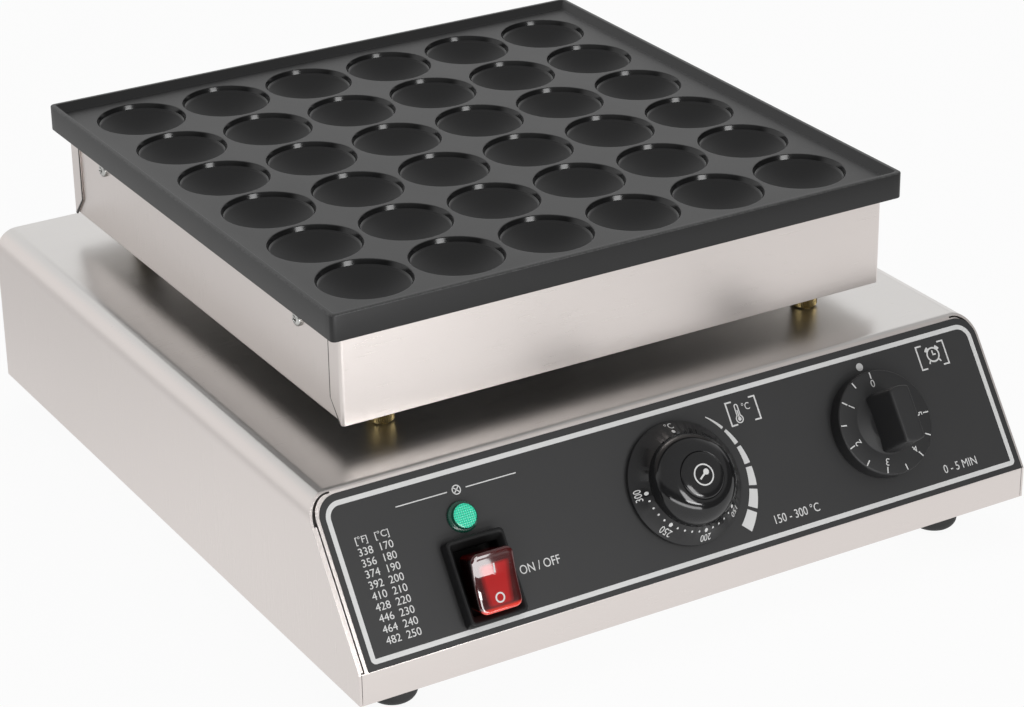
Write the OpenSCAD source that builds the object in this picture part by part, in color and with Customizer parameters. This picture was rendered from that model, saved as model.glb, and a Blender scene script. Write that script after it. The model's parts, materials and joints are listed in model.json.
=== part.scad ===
// Countertop grill for small round cakes: a cast plate of dished cups on a heated steel box,
// carried on four knurled posts above a sheet-metal base with a sloping control panel.
// The plate's centre stands over x = 0; +X is right along the front, +Y the back, +Z up, millimetres.

/* [Cooking plate] */
// Outside width and depth of the square cast plate
plate_w = 322.4; // [316:0.1:340]
// Height of the plate's outside edge
plate_edge_h = 13.8; // [12:0.1:20]
// Height of the raised lip above the flat top
lip_h = 3.9; // [2:0.1:6]
// Width of the lip along its top
lip_w = 2.4; // [1.5:0.1:4]
// Run of the lip's sloping inner face
lip_run = 3.4; // [1:0.1:4]
// Radius of the plate's upright corners
plate_corner_r = 4; // [2:0.1:6]
// Number of cups along each side
cups_side = 6; // [4:2:6]
// Distance between cup centres
cup_pitch = 49.7; // [48:0.1:51]
// Width of a cup at its rim
cup_d = 47; // [42:0.5:47.5]
// Depth of the steep wall under a cup's rim
cup_wall_h = 2.6; // [1:0.1:4]
// Inward lean of that wall from rim to dish
cup_wall_lean = 0.9; // [0.3:0.1:2]
// Full depth of a cup
cup_depth = 10.6; // [9:0.1:12]
// Metal left under a cup
cup_floor = 3.6; // [3:0.1:6]
// Depth of the rib round the plate's underside, below the edge
rib_h = 14; // [12:0.5:18]
// Thickness of that rib
rib_t = 8; // [6:0.5:9]

/* [Heater box] */
// Outside width and depth of the box under the plate
box_w = 308; // [304:1:312]
// Height of the box walls
box_h = 47.2; // [45:0.1:60]
// Sheet thickness of the box
box_t = 1; // [0.8:0.1:1.5]
// Outside bend radius of the box sheets
box_bend_r = 2; // [1.8:0.1:4]
// Width of the flaps that wrap the corners
flap_w = 12; // [8:0.5:20]
// Rise of the slanting lower edge of a flap
flap_mitre = 11; // [6:0.5:20]
// Distance of the side screws from the middle of each side
side_screw_y = 111; // [80:1:120]
// Drop of the side screws below the plate's edge
side_screw_drop = 8.4; // [6:0.1:9]
// Diameter of the side screws
side_screw_d = 4; // [3:0.5:5]
// Thickness of the insulation mat
insulation_h = 20; // [12:1:22]
// Gap between the insulation mat and the walls
insulation_gap = 2; // [1:0.5:5]

/* [Heating element] */
// Diameter of the heating tube
element_d = 8.5; // [6:0.1:9.5]
// Gap between the tube's bends and the plate's rib
element_gap = 9.4; // [6:0.1:20]
// Length of the cold ends past the straight runs
element_tail = 30; // [20:1:34]
// Diameter of the terminal pins
element_pin_d = 3; // [2:0.1:4]
// Length of the terminal pins
element_pin_l = 4; // [3:0.5:6]
// Width of the clamp bars
clamp_w = 18; // [12:1:24]
// Thickness of the clamp bars
clamp_t = 3; // [2:0.5:4]
// Gap between the ends of the clamp bars and the plate's rib
clamp_gap = 8.5; // [4:0.5:16]
// Diameter of the clamp studs
stud_d = 5; // [4:0.5:6]
// Depth that a stud is screwed into the plate
stud_depth = 8; // [6:0.5:10]
// Diameter of the thermostat bulb
bulb_d = 6; // [5:0.1:6.5]
// Length of the thermostat bulb
bulb_l = 80; // [60:1:90]
// Diameter of the capillary tube
capillary_d = 2; // [1.5:0.1:2.5]

/* [Posts and conduit] */
// Height of the posts between base and box
post_h = 12.7; // [10:0.1:25]
// Diameter of the posts over their knurling
post_d = 13.5; // [12:0.5:18]
// Number of knurl teeth on a post
knurl_teeth = 40; // [24:2:48]
// Depth of the knurl teeth
knurl_depth = 0.45; // [0.3:0.05:0.6]
// Chamfer at each end of a post
post_chamfer = 1.1; // [0.6:0.1:1.5]
// Distance of the posts from the sides of the box
post_side = 31; // [24:1:44]
// Distance of the posts from the front and back of the box
post_end = 21; // [19:1:34]
// Diameter of the post bolts
bolt_d = 6; // [5:0.5:6]
// Length of bolt that shows under the base top
bolt_tail = 9; // [8:0.5:12]
// Outside diameter of the wire conduit
conduit_d = 18; // [16:0.5:22]
// Bore of the wire conduit
conduit_bore = 14; // [10:0.5:15]
// Place of the conduit left of the middle
conduit_left = 50; // [46:1:56]

/* [Base] */
// Outside width of the base
base_w = 381; // [370:1:400]
// Depth of the base from front lip to back
base_depth = 412.6; // [405:0.1:420]
// Height of the base's sheet body
base_h = 85.6; // [82:0.1:100]
// Sheet thickness of the base
base_t = 1.2; // [1:0.1:1.5]
// Outside bend radius between the top and the sides
base_bend_r = 12; // [8:0.5:14]
// Distance from the plate's centre to the back of the base
base_back = 180.7; // [176:0.1:186]
// Height of the upright lip under the panel
front_lip_h = 16.3; // [12:0.1:20]
// How far the panel leans back from the lip to the top
panel_lean = 49.7; // [45:0.1:55]
// Outside bend radius between the panel and the top
panel_bend_r = 3.5; // [2.5:0.1:6]
// Outside bend radius between the panel and the lip
lip_bend_r = 2; // [1.8:0.1:4]
// Width of the returned edge on each side wall along the slope
return_w = 2.4; // [2:0.1:4]
// Gap between a returned edge and the panel
seam = 0.7; // [0.4:0.1:1.2]
// Radius of the panel's upper corners
panel_corner_r = 9; // [7:0.5:10]
// Gap between the front lip and the side walls
lip_seam = 0.3; // [0.2:0.1:0.6]
// Depth of the panel's folded side edges
panel_fold = 9; // [6:0.5:12]
// Width of the flanges that take the bottom and back sheets
flange_w = 14; // [12:0.5:18]
// Gap round the back sheet
sheet_gap = 0.4; // [0.2:0.1:1]
// Inset of the bottom sheet from the base's inner faces
bottom_inset = 2; // [1:0.5:3]
// Thickness of the printed panel overlay
overlay_t = 0.4; // [0.2:0.1:0.6]
// Steel left bare beside the overlay on the left
overlay_bare_left = 1.8; // [0.5:0.1:4]
// Lap of the overlay over the seam on the right
overlay_lap = 1.8; // [0:0.1:2]
// Steel left bare above the overlay
overlay_bare_top = 3; // [2:0.1:6]
// Steel left bare below the overlay
overlay_bare_foot = 0; // [0:0.1:3]
// Radius of the overlay's upper corners
overlay_r = 11; // [6:0.5:14]
// Number of vent slots in the back sheet
vent_count = 9; // [3:1:11]
// Distance between vent slots
vent_pitch = 16; // [12:1:18]
// Width of a vent slot
vent_w = 4; // [3:0.5:5]
// Length of a vent slot
vent_l = 34; // [20:1:40]

/* [Feet and gland] */
// Height of the rubber feet
foot_h = 19.1; // [14:0.1:24]
// Diameter of the rubber feet
foot_d = 24.2; // [18:0.2:26]
// Rounding of a foot's lower edge
foot_round = 5.5; // [3:0.5:6]
// Distance of the feet from the sides of the base
foot_side = 32.5; // [26:0.5:50]
// Distance of the feet from the front and back edges
foot_inset = 30; // [26:1:50]
// Diameter of the studs moulded into the feet
foot_stud_d = 5; // [4:0.5:6]
// Length of foot stud inside the rubber
foot_stud_depth = 10; // [6:0.5:12]
// Bore of the cord gland
gland_bore = 8; // [6:0.5:9]
// Width across the flats of the gland's hexagon
gland_hex = 19; // [17:0.5:24]
// Diameter of the gland's thread
gland_thread_d = 15; // [13:0.5:16]
// Length of the gland's hexagon
gland_hex_l = 6; // [4:0.5:8]
// Length of the gland's domed cap
gland_cap_l = 12; // [8:0.5:16]
// Length of the gland's thread behind the sheet
gland_tail = 9; // [8:0.5:14]
// Distance of the gland from the left side of the base
gland_side = 70.5; // [50:0.5:90]
// Height of the gland above the bottom of the base
gland_up = 28; // [24:1:40]

/* [Knobs] */
// Place of the thermostat knob right of the panel's middle
thermostat_x = -1; // [-10:0.5:10]
// Distance of the timer knob from the right side of the base
timer_side = 75.9; // [65:0.1:85]
// Height of both knobs up the panel
knob_v = 41.2; // [38:0.1:44]
// Gap under the knobs
knob_gap = 1; // [0.6:0.1:2]
// Diameter of the thermostat knob's skirt
skirt_d = 60.9; // [56:0.1:64]
// Thickness of the skirt's rim
skirt_rim = 1.6; // [1:0.1:3]
// Height of the skirt where it meets the crown
skirt_h = 8.4; // [6:0.1:10]
// Diameter of the thermostat knob's crown
crown_d = 45.4; // [42:0.1:48]
// Radius of the crown's round, from its foot up to the cap
dome_r = 11.2; // [10.4:0.1:11.6]
// Depth of the cap's seat in the crown
cap_seat = 1.6; // [1:0.1:2]
// Diameter of the push-in cap
cap_d = 23; // [18:0.1:26]
// Rise of the cap above the crown
cap_rise = 1.6; // [1:0.1:3]
// Wall of the moulded knobs
knob_wall = 2.4; // [2:0.1:3]
// Diameter of the timer knob's dial
dial_d = 53.4; // [48:0.1:58]
// Height of the timer knob's dial
dial_h = 7.6; // [6:0.1:9]
// Edge rounding of the timer knob's dial
dial_round = 0.9; // [0.5:0.1:1.5]
// Height of the hub under the grip
hub_h = 2; // [1:0.1:3]
// Diameter of the hub under the grip
hub_d = 35; // [33:0.5:40]
// Length of the grip at its top
grip_l = 28.4; // [24:0.2:30]
// Width of the grip at its top
grip_w = 11.4; // [9:0.2:14]
// Flare of the grip from top to foot, each side
grip_flare = 1.4; // [0.5:0.1:2.5]
// Height of the grip above the dial
grip_h = 21; // [16:0.2:24]
// Diameter of the control shafts
shaft_d = 6; // [5:0.1:6.5]
// Depth of the flat on a shaft
shaft_flat = 1.4; // [1:0.1:2]
// Running clearance round a shaft
shaft_fit = 0.05; // [0.02:0.01:0.08]
// Seating clearance between a shaft and its knob
knob_fit = 0.04; // [0.02:0.01:0.08]

/* [Controls] */
// Width of the thermostat body
thermostat_w = 44; // [38:1:50]
// Height of the thermostat body
thermostat_l = 34; // [30:1:38]
// Depth of the thermostat body
thermostat_d = 24; // [20:1:30]
// Distance between the thermostat's screws
thermostat_screws = 28; // [26:0.5:34]
// Width of the timer body
timer_w = 50; // [44:1:54]
// Height of the timer body
timer_l = 42; // [36:1:46]
// Depth of the timer body
timer_d = 30; // [24:1:34]
// Distance between the timer's screws
timer_screws = 32; // [28:0.5:36]
// Distance of the switch and lamp from the left side of the base
switch_side = 72.7; // [60:0.1:85]
// Height of the switch up the panel
switch_v = 25.5; // [24:0.1:30]
// Width of the switch frame
frame_w = 29.5; // [28.5:0.1:32]
// Length of the switch frame
frame_l = 39.5; // [38.5:0.1:42]
// Height of the switch frame above the panel
frame_h = 7.5; // [6:0.1:8]
// Chamfer of the switch frame
frame_chamfer = 1; // [0.5:0.1:1.4]
// Wall of the switch body
switch_wall = 1.2; // [1:0.1:1.4]
// Depth of the switch body behind the panel
switch_depth = 24; // [20:1:30]
// Width of the rocker
rocker_w = 22.2; // [20:0.1:22.4]
// Length of the rocker
rocker_l = 27.5; // [26:0.1:28.5]
// Height of the rocker's ends above its pivot
rocker_end_h = 11; // [10:0.1:12]
// Hollow of the rocker's face in the middle
rocker_hollow = 1.8; // [1:0.1:3]
// Side clearance of the rocker
rocker_gap = 0.4; // [0.3:0.05:0.6]
// Height of the pivot above the panel
pivot_h = 3.5; // [3:0.1:4]
// Diameter of the pivot pins
pivot_d = 3; // [2:0.1:4]
// Tilt of the rocker to each side of level
rocker_tilt = 15; // [10:0.5:16]
// Height of the lamp up the panel
lamp_v = 55.6; // [54:0.1:60]
// Diameter of the lamp's ring
lamp_d = 15; // [13:0.1:16]
// Diameter of the lamp's front
lamp_front_d = 12; // [10:0.1:12.5]
// Height of the lamp above the panel
lamp_h = 4.6; // [3:0.1:6]
// Thickness of the lamp's ring
lamp_ring = 2; // [1:0.1:2.5]
// Diameter of the lamp's body
lamp_body_d = 10.6; // [9:0.1:11.5]
// Length of the lamp's body behind the panel
lamp_body_l = 24; // [18:1:30]

/* [Small fasteners] */
// Diameter of the panel and sheet screws
screw_d = 4; // [3:0.5:4]
// Head diameter over shank diameter of a pan-head screw
head_ratio = 1.9; // [1.7:0.05:2.1]
// Head height over shank diameter of a pan-head screw
head_rise = 0.6; // [0.5:0.05:0.7]
// Length of thread past the sheet
screw_tail = 5; // [4:0.5:8]
// Nut width across corners over thread diameter
nut_ratio = 2; // [1.9:0.05:2.1]
// Nut height over thread diameter
nut_rise = 0.8; // [0.6:0.05:0.9]
// Clearance of a fastener in its hole
hole_fit = 0.2; // [0.1:0.05:0.3]
// Seating clearance of a thread in its own metal
thread_fit = 0.03; // [0.02:0.01:0.05]

/* [Hidden] */
$fn = 96;
// A hair of overlap that lets a cut pass its face
nick = 1;
// Clearance between inner pieces that only lean on each other
rest_gap = 0.1;

// Heights, from the floor up
base_z = foot_h + base_t;
base_top_z = base_z + base_h;
lip_top_z = base_z + front_lip_h;
box_z = base_top_z + post_h;
plate_under_z = box_z + box_h;
cup_plane_z = plate_under_z + plate_edge_h - lip_h;
slab_z = cup_plane_z - cup_depth - cup_floor;

// Depths, with the plate's centre at zero
base_front = base_back - base_depth;
panel_rise = base_h - front_lip_h;
panel_tilt = atan2(panel_rise, panel_lean);
panel_l = norm([panel_rise, panel_lean]);
panel_half_w = base_w / 2 - return_w - seam;
lip_half_w = base_w / 2 - base_t - lip_seam;
foot_x = base_w / 2 - foot_side;
gland_left = base_w / 2 - gland_side;
timer_x = base_w / 2 - timer_side;
switch_x = switch_side - base_w / 2;
post_x = box_w / 2 - post_side;
post_y = box_w / 2 - post_end;
inner_w = base_w - 2 * base_t;
grip_top = knob_gap + dial_h + grip_h;
grip_reach = base_front + (knob_v - grip_l / 2) * cos(panel_tilt) - grip_top * sin(panel_tilt);
gland_out = gland_hex_l + gland_cap_l;
frame_y = -(min(base_front, grip_reach) + base_back + gland_out) / 2;

// Cup and plate underside
cup_r = cup_d / 2;
dish_r = cup_r - cup_wall_lean;
dish_h = cup_depth - cup_wall_h;
dish_sphere = (dish_r * dish_r + dish_h * dish_h) / (2 * dish_h);
cup_span = (cups_side - 1) * cup_pitch / 2;
boss_fit = 0.5;
boss_x = box_w - 4 * box_t - 2 * boss_fit;
boss_y = box_w - 2 * box_t - 2 * boss_fit;
side_screw_z = plate_under_z - side_screw_drop;
side_screw_l = rib_t - 2;

// Heater
element_z = slab_z - rest_gap - element_d / 2;
element_span = cup_span;
element_run = boss_x / 2 - rib_t - element_gap - cup_pitch / 2 - element_d / 2;
clamp_l = boss_y - 2 * rib_t - 2 * clamp_gap;
clamp_z = element_z - element_d / 2 - rest_gap - clamp_t;
stud_place = 2 * cup_pitch;
stud_tail = stud_d * nut_rise + 2;
bulb_z = slab_z - rest_gap - bulb_d / 2;
bulb_start = -20;
clip_x = cup_pitch;
clip_screw_y = 8;
clip_t = 1.5;
clip_w = 10;
clip_screw_d = 3;
clip_screw_depth = 6;
mat_z = box_z + box_t;
mat_clear = 12;

// Controls
knob_floor = overlay_t + knob_gap;
bush_wall = 2;
bush_r = shaft_d / 2 + bush_wall;
bush_gap = 0.5;
bush_rise = 0.2;
shaft_depth = 12;
shaft_reach = 14;
flat_start = 2;
crown_h = skirt_h + dome_r;
edge_break = 0.4;
well_w = rocker_w + 2 * rocker_gap;
rocker_reach = (frame_h - pivot_h + rocker_l / 2 * sin(rocker_tilt)) / cos(rocker_tilt);
rocker_swing = rocker_l / 2 * cos(rocker_tilt) + rocker_reach * sin(rocker_tilt);
rocker_drop = 4;
rocker_draft = 0.6;
rocker_corner_r = 2.4;
well_l = 2 * (rocker_swing + rocker_gap);
body_w = well_w + 2 * switch_wall;
body_l = well_l + 2 * switch_wall;
cutout_gap = 0.2;
well_floor = 2 * rocker_drop - pivot_h;
terminal_l = 9;
terminal_w = 6.3;
terminal_t = 0.8;
lamp_nut_h = 4;

// The route of the capillary tube, from the bulb through the conduit to the thermostat
capillary_drop = 33;
capillary_fall = 8;
capillary_back = 122;
capillary_aside = 10;
capillary_turn_z = base_top_z - capillary_drop;
capillary_bend_y = base_front + capillary_back;
capillary_bend_x = -conduit_left - capillary_aside;
thermostat_back_y = base_front + knob_v * cos(panel_tilt) + (base_t + thermostat_d) * sin(panel_tilt);
thermostat_back_z = lip_top_z + knob_v * sin(panel_tilt) - (base_t + thermostat_d) * cos(panel_tilt);
capillary_stub = 12;
capillary_route = [
    [bulb_start - capillary_d / 2, 0, bulb_z],
    [-conduit_left, 0, bulb_z],
    [-conduit_left, 0, capillary_turn_z],
    [capillary_bend_x, capillary_bend_y, capillary_turn_z - capillary_fall],
    [
        thermostat_x,
        thermostat_back_y + (rest_gap + capillary_stub) * sin(panel_tilt),
        thermostat_back_z - (rest_gap + capillary_stub) * cos(panel_tilt)
    ],
    [
        thermostat_x,
        thermostat_back_y + rest_gap * sin(panel_tilt),
        thermostat_back_z - rest_gap * cos(panel_tilt)
    ]
];

// Bent tubes
bend_steps = 3;
tube_sides = 8;
tube_aside = [1, 1, -0.5];

// Terminal block
block_w = 46;
block_d = 20;
block_h = 16;
block_inset = 70;
block_y = base_back - block_inset;
block_ways = 4;
way_w = 8.8;
way_bore = 4;
way_screw_d = 5;

steel = [0.80, 0.77, 0.75];
zinc = [0.70, 0.70, 0.70];
coated = [0.17, 0.17, 0.17];
brass = [0.72, 0.58, 0.28];
black = [0.06, 0.06, 0.06];

// Moves a piece from the plate-centred frame to the middle of the whole grill
module placed() translate([0, frame_y, 0]) children();

// A box between two corners
module block(low, high) translate(low) cube(high - low);

// Puts a piece on the panel: x along it, y up its slope and z out of its face
module on_panel(u, v)
    translate([0, base_front, lip_top_z]) rotate([panel_tilt, 0, 0]) translate([u, v, 0]) children();

// A flat rectangle with rounded corners, about its centre
module round_square(w, d, r) {
    square([w - 2 * r, d], center = true);
    square([w, d - 2 * r], center = true);
    for (x = [-1, 1], y = [-1, 1]) translate([x * (w / 2 - r), y * (d / 2 - r)]) circle(r);
}

// A flat arch standing on y = 0: square feet and rounded shoulders
module arch(w, h, r) {
    translate([-w / 2, 0]) square([w, h - r]);
    translate([-w / 2 + r, 0]) square([w - 2 * r, h]);
    for (x = [-1, 1]) translate([x * (w / 2 - r), h - r]) circle(r);
}

// A profile drawn in x and z, carried along y from one place to another
module along_y(from, to) translate([0, to, 0]) rotate([90, 0, 0]) linear_extrude(to - from) children();

// A profile drawn in y and z, carried along x, about the middle
module along_x(length) rotate([90, 0, 90]) linear_extrude(length, center = true) children();

// The four places that mirror one another about the plate's centre
module four(x, y) for (i = [-1, 1], j = [-1, 1]) translate([i * x, j * y, 0]) children();

// The feet and their studs, under the corners of the base
module at_feet()
    for (x = [-foot_x, foot_x], y = [base_front + foot_inset, base_back - foot_inset])
        translate([x, y, 0]) children();

// A pan-head screw whose head sits on z = 0 and whose shank runs down
module pan_screw(d, length) {
    rise = d * head_rise;
    crown = d * 1.6;
    rotate_extrude() intersection() {
        square([d * head_ratio / 2, rise]);
        translate([0, rise - crown]) circle(crown);
    }
    translate([0, 0, -length]) cylinder(h = length, d = d);
}

// A hexagon nut standing on z = 0
module hex_nut(d) difference() {
    cylinder(h = d * nut_rise, d = d * nut_ratio, $fn = 6);
    translate([0, 0, -nick]) cylinder(h = d * nut_rise + 2 * nick, d = d + 2 * thread_fit);
}

function unit(v) = v / norm(v);

// Cuts the corners of a route at a quarter of each leg, again and again, so that its bends turn round
function softened(route, times) = times == 0 ? route : softened(concat(
    [route[0]],
    [for (i = [0:len(route) - 2]) each [
        0.75 * route[i] + 0.25 * route[i + 1],
        0.25 * route[i] + 0.75 * route[i + 1]
    ]],
    [route[len(route) - 1]]
), times - 1);

// The way a route runs at one of its points
function heading(route, i) = unit(route[min(i + 1, len(route) - 1)] - route[max(i - 1, 0)]);

// A ring of points round a route, square to its heading
function ring_at(route, i, d) = let (t = heading(route, i), a = unit(cross(t, tube_aside)), b = cross(t, a))
    [for (k = [0:tube_sides - 1]) route[i] + d / 2 * (cos(k * 360 / tube_sides) * a + sin(k * 360 / tube_sides) * b)];

// A bent tube: rings along the route, joined by triangles and closed at both ends
module tube_along(route, d) {
    last = len(route) - 1;
    n = tube_sides;
    points = [for (i = [0:last]) each ring_at(route, i, d)];
    start_cap = [for (k = [1:n - 2]) [0, k, k + 1]];
    end_cap = [for (k = [1:n - 2]) [last * n, last * n + k + 1, last * n + k]];
    wall = [
        for (i = [0:last - 1], k = [0:n - 1])
            let (p = i * n + k, q = i * n + (k + 1) % n)
            each [[p, p + n, q + n], [p, q + n, q]]
    ];
    polyhedron(points, concat(start_cap, wall, end_cap));
}

// The frustum-shaped recess inside the lip
module plate_recess() {
    floor_w = plate_w - 2 * (lip_w + lip_run);
    rim_w = plate_w - 2 * lip_w;
    grow = lip_run / lip_h * nick;
    intersection_for (turn = [0, 90])
        rotate(turn) along_y(-plate_w, plate_w) polygon([
            [-floor_w / 2, 0],
            [floor_w / 2, 0],
            [rim_w / 2 + grow, lip_h + nick],
            [-rim_w / 2 - grow, lip_h + nick]
        ]);
}

// One cup as the space it leaves: a steep rim wall over a shallow dish
module cup_space() rotate_extrude() {
    polygon([[0, -cup_wall_h], [dish_r, -cup_wall_h], [cup_r, 0], [cup_r, nick], [0, nick]]);
    intersection() {
        translate([0, dish_sphere - cup_depth]) circle(dish_sphere);
        translate([0, -cup_depth - nick]) square([dish_r, cup_depth + nick - cup_wall_h]);
    }
}

module cooking_plate() color(coated) placed() difference() {
    union() {
        translate([0, 0, plate_under_z]) linear_extrude(plate_edge_h)
            round_square(plate_w, plate_w, plate_corner_r);
        translate([0, 0, slab_z]) linear_extrude(plate_under_z - slab_z + nick)
            round_square(boss_x, boss_y, plate_corner_r);
        translate([0, 0, plate_under_z - rib_h]) linear_extrude(rib_h + nick) difference() {
            round_square(boss_x, boss_y, plate_corner_r);
            square([boss_x - 2 * rib_t, boss_y - 2 * rib_t], center = true);
        }
    }
    translate([0, 0, cup_plane_z]) {
        plate_recess();
        for (x = [-cup_span:cup_pitch:cup_span + nick], y = [-cup_span:cup_pitch:cup_span + nick])
            translate([x, y, 0]) cup_space();
    }
    for (x = [-stud_place, 0, stud_place], y = [-stud_place, stud_place])
        translate([x, y, slab_z - nick]) cylinder(h = stud_depth + nick, d = stud_d + 2 * thread_fit);
    for (y = [-clip_screw_y, clip_screw_y])
        translate([clip_x, y, slab_z - nick])
            cylinder(h = clip_screw_depth + nick, d = clip_screw_d + 2 * thread_fit);
    for (x = [-1, 1], y = [-side_screw_y, side_screw_y])
        translate([x * boss_x / 2, y, side_screw_z]) rotate([0, -90 * x, 0])
            translate([0, 0, -nick]) cylinder(h = side_screw_l + nick, d = side_screw_d + 2 * thread_fit);
}

module plate_side_screws() color(zinc) placed()
    for (x = [-1, 1], y = [-side_screw_y, side_screw_y])
        translate([x * (box_w / 2 - box_t), y, side_screw_z]) rotate([0, 90 * x, 0])
            pan_screw(side_screw_d, box_t + boss_fit + side_screw_l - rest_gap);

// Bottom and two side walls of the heater box, one bent sheet
module heater_tray() color(steel) placed() difference() {
    tray_w = box_w - 2 * box_t;
    tray_end = tray_w / 2 - (box_bend_r - box_t);
    translate([0, 0, plate_under_z]) along_y(-tray_end, tray_end) mirror([0, 1]) difference() {
        arch(tray_w, box_h, box_bend_r);
        translate([0, -nick]) arch(tray_w - 2 * box_t, box_h - box_t + nick, box_bend_r - box_t);
    }
    four(post_x, post_y) translate([0, 0, box_z - nick])
        cylinder(h = box_t + 2 * nick, d = bolt_d + 2 * hole_fit);
    translate([-conduit_left, 0, box_z - nick]) cylinder(h = box_t + 2 * nick, d = conduit_d + 2 * hole_fit);
    for (x = [-1, 1], y = [-side_screw_y, side_screw_y])
        translate([x * tray_w / 2, y, side_screw_z]) rotate([0, 90, 0])
            cylinder(h = 4 * box_t, d = side_screw_d + 2 * hole_fit, center = true);
}

// An end wall of the heater box, with a flap round each corner that is cut off slanting at its foot
module heater_end_wall() difference() {
    translate([0, 0, box_z]) linear_extrude(box_h) intersection() {
        difference() {
            round_square(box_w, box_w, box_bend_r);
            round_square(box_w - 2 * box_t, box_w - 2 * box_t, box_bend_r - box_t);
        }
        translate([-box_w, -box_w / 2 - nick]) square([2 * box_w, flap_w + nick]);
    }
    translate([0, -box_w / 2, box_z]) along_x(2 * box_w)
        polygon([[box_bend_r, -nick], [flap_w + nick, -nick], [flap_w + nick, flap_mitre], [flap_w, flap_mitre]]);
}

module heater_front_wall() color(steel) placed() heater_end_wall();

module heater_back_wall() color(steel) placed() rotate(180) heater_end_wall();

module insulation_mat() color([0.85, 0.84, 0.78]) placed() difference() {
    mat_x = box_w - 4 * box_t - 2 * insulation_gap;
    mat_y = box_w - 2 * box_t - 2 * insulation_gap;
    translate([0, 0, mat_z]) linear_extrude(insulation_h) square([mat_x, mat_y], center = true);
    four(post_x, post_y) translate([0, 0, mat_z - nick])
        cylinder(h = insulation_h + 2 * nick, d = bolt_d * nut_ratio + 2);
    translate([-conduit_left, 0, mat_z - nick]) cylinder(h = insulation_h + 2 * nick, d = conduit_d + mat_clear);
}

// A tube bent to and fro under the rows of cups, with both cold ends on the left
module heating_element() color([0.35, 0.34, 0.33]) placed() translate([0, 0, element_z]) {
    for (i = [0:cups_side - 1]) {
        y = -element_span + i * cup_pitch;
        end = i == 0 || i == cups_side - 1;
        translate([-element_run - (end ? element_tail : 0), y, 0]) rotate([0, 90, 0])
            cylinder(h = 2 * element_run + (end ? element_tail : 0), d = element_d);
        side = i % 2 == 0 ? 1 : -1;
        if (i < cups_side - 1)
            translate([side * element_run, y + cup_pitch / 2, 0]) rotate(side > 0 ? -90 : 90)
                rotate_extrude(angle = 180) translate([cup_pitch / 2, 0]) circle(d = element_d);
    }
}

module element_pins() color(brass) placed()
    for (y = [-element_span, element_span])
        translate([-element_run - element_tail - element_pin_l, y, element_z]) rotate([0, 90, 0])
            cylinder(h = element_pin_l, d = element_pin_d);

module clamp_bars() color(zinc) placed()
    for (x = [-stud_place, 0, stud_place]) translate([x, 0, clamp_z]) difference() {
        block([-clamp_w / 2, -clamp_l / 2, 0], [clamp_w / 2, clamp_l / 2, clamp_t]);
        for (y = [-stud_place, stud_place])
            translate([0, y, -nick]) cylinder(h = clamp_t + 2 * nick, d = stud_d + 2 * hole_fit);
    }

module clamp_studs() color(zinc) placed()
    for (x = [-stud_place, 0, stud_place], y = [-stud_place, stud_place])
        translate([x, y, clamp_z - stud_tail])
            cylinder(h = slab_z + stud_depth - rest_gap - clamp_z + stud_tail, d = stud_d);

module clamp_nuts() color(zinc) placed()
    for (x = [-stud_place, 0, stud_place], y = [-stud_place, stud_place])
        translate([x, y, clamp_z - stud_d * nut_rise]) hex_nut(stud_d);

module thermostat_bulb() color(brass) placed()
    translate([bulb_start, 0, bulb_z]) rotate([0, 90, 0]) cylinder(h = bulb_l, d = bulb_d);

// A saddle strap that holds the bulb up against the plate
module bulb_clip() color(zinc) placed() translate([clip_x, 0, slab_z]) difference() {
    ear = clip_screw_y + clip_screw_d;
    union() {
        block([-clip_w / 2, -ear, -clip_t], [clip_w / 2, ear, 0]);
        translate([-clip_w / 2, 0, bulb_z - slab_z]) rotate([0, 90, 0])
            cylinder(h = clip_w, d = bulb_d + 2 * clip_t);
    }
    translate([-clip_w, 0, bulb_z - slab_z]) rotate([0, 90, 0]) cylinder(h = 2 * clip_w, d = bulb_d + 2 * rest_gap);
    block([-clip_w, -bulb_d / 2 - rest_gap, bulb_z - slab_z], [clip_w, bulb_d / 2 + rest_gap, nick]);
    block([-clip_w, -2 * ear, 0], [clip_w, 2 * ear, 2 * clip_t + bulb_d]);
    for (y = [-clip_screw_y, clip_screw_y])
        translate([0, y, -2 * clip_t]) cylinder(h = 3 * clip_t, d = clip_screw_d + 2 * hole_fit);
}

module bulb_clip_screws() color(zinc) placed()
    for (y = [-clip_screw_y, clip_screw_y]) translate([clip_x, y, slab_z - clip_t]) rotate([180, 0, 0])
        pan_screw(clip_screw_d, clip_t + clip_screw_depth - rest_gap);

module capillary_tube() color([0.72, 0.45, 0.30]) placed()
    tube_along(softened(capillary_route, bend_steps), capillary_d);

// A flanged tube that takes the leads from the heater box down into the base
module wire_conduit() color(zinc) placed() translate([-conduit_left, 0, 0]) {
    conduit_flange = 3;
    conduit_tail = 9;
    foot_z = base_top_z - base_t - conduit_tail;
    difference() {
        union() {
            translate([0, 0, foot_z]) cylinder(h = mat_z + conduit_flange - foot_z, d = conduit_d);
            translate([0, 0, mat_z]) cylinder(h = conduit_flange, d = conduit_d + 8);
        }
        translate([0, 0, foot_z - nick]) cylinder(h = box_h + base_h, d = conduit_bore);
    }
}

module conduit_nut() color(zinc) placed() translate([-conduit_left, 0, base_top_z - base_t]) mirror([0, 0, 1])
    difference() {
        cylinder(h = 5, d = conduit_d * 1.5, $fn = 6);
        translate([0, 0, -nick]) cylinder(h = 5 + 2 * nick, d = conduit_d + 2 * thread_fit);
    }

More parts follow.
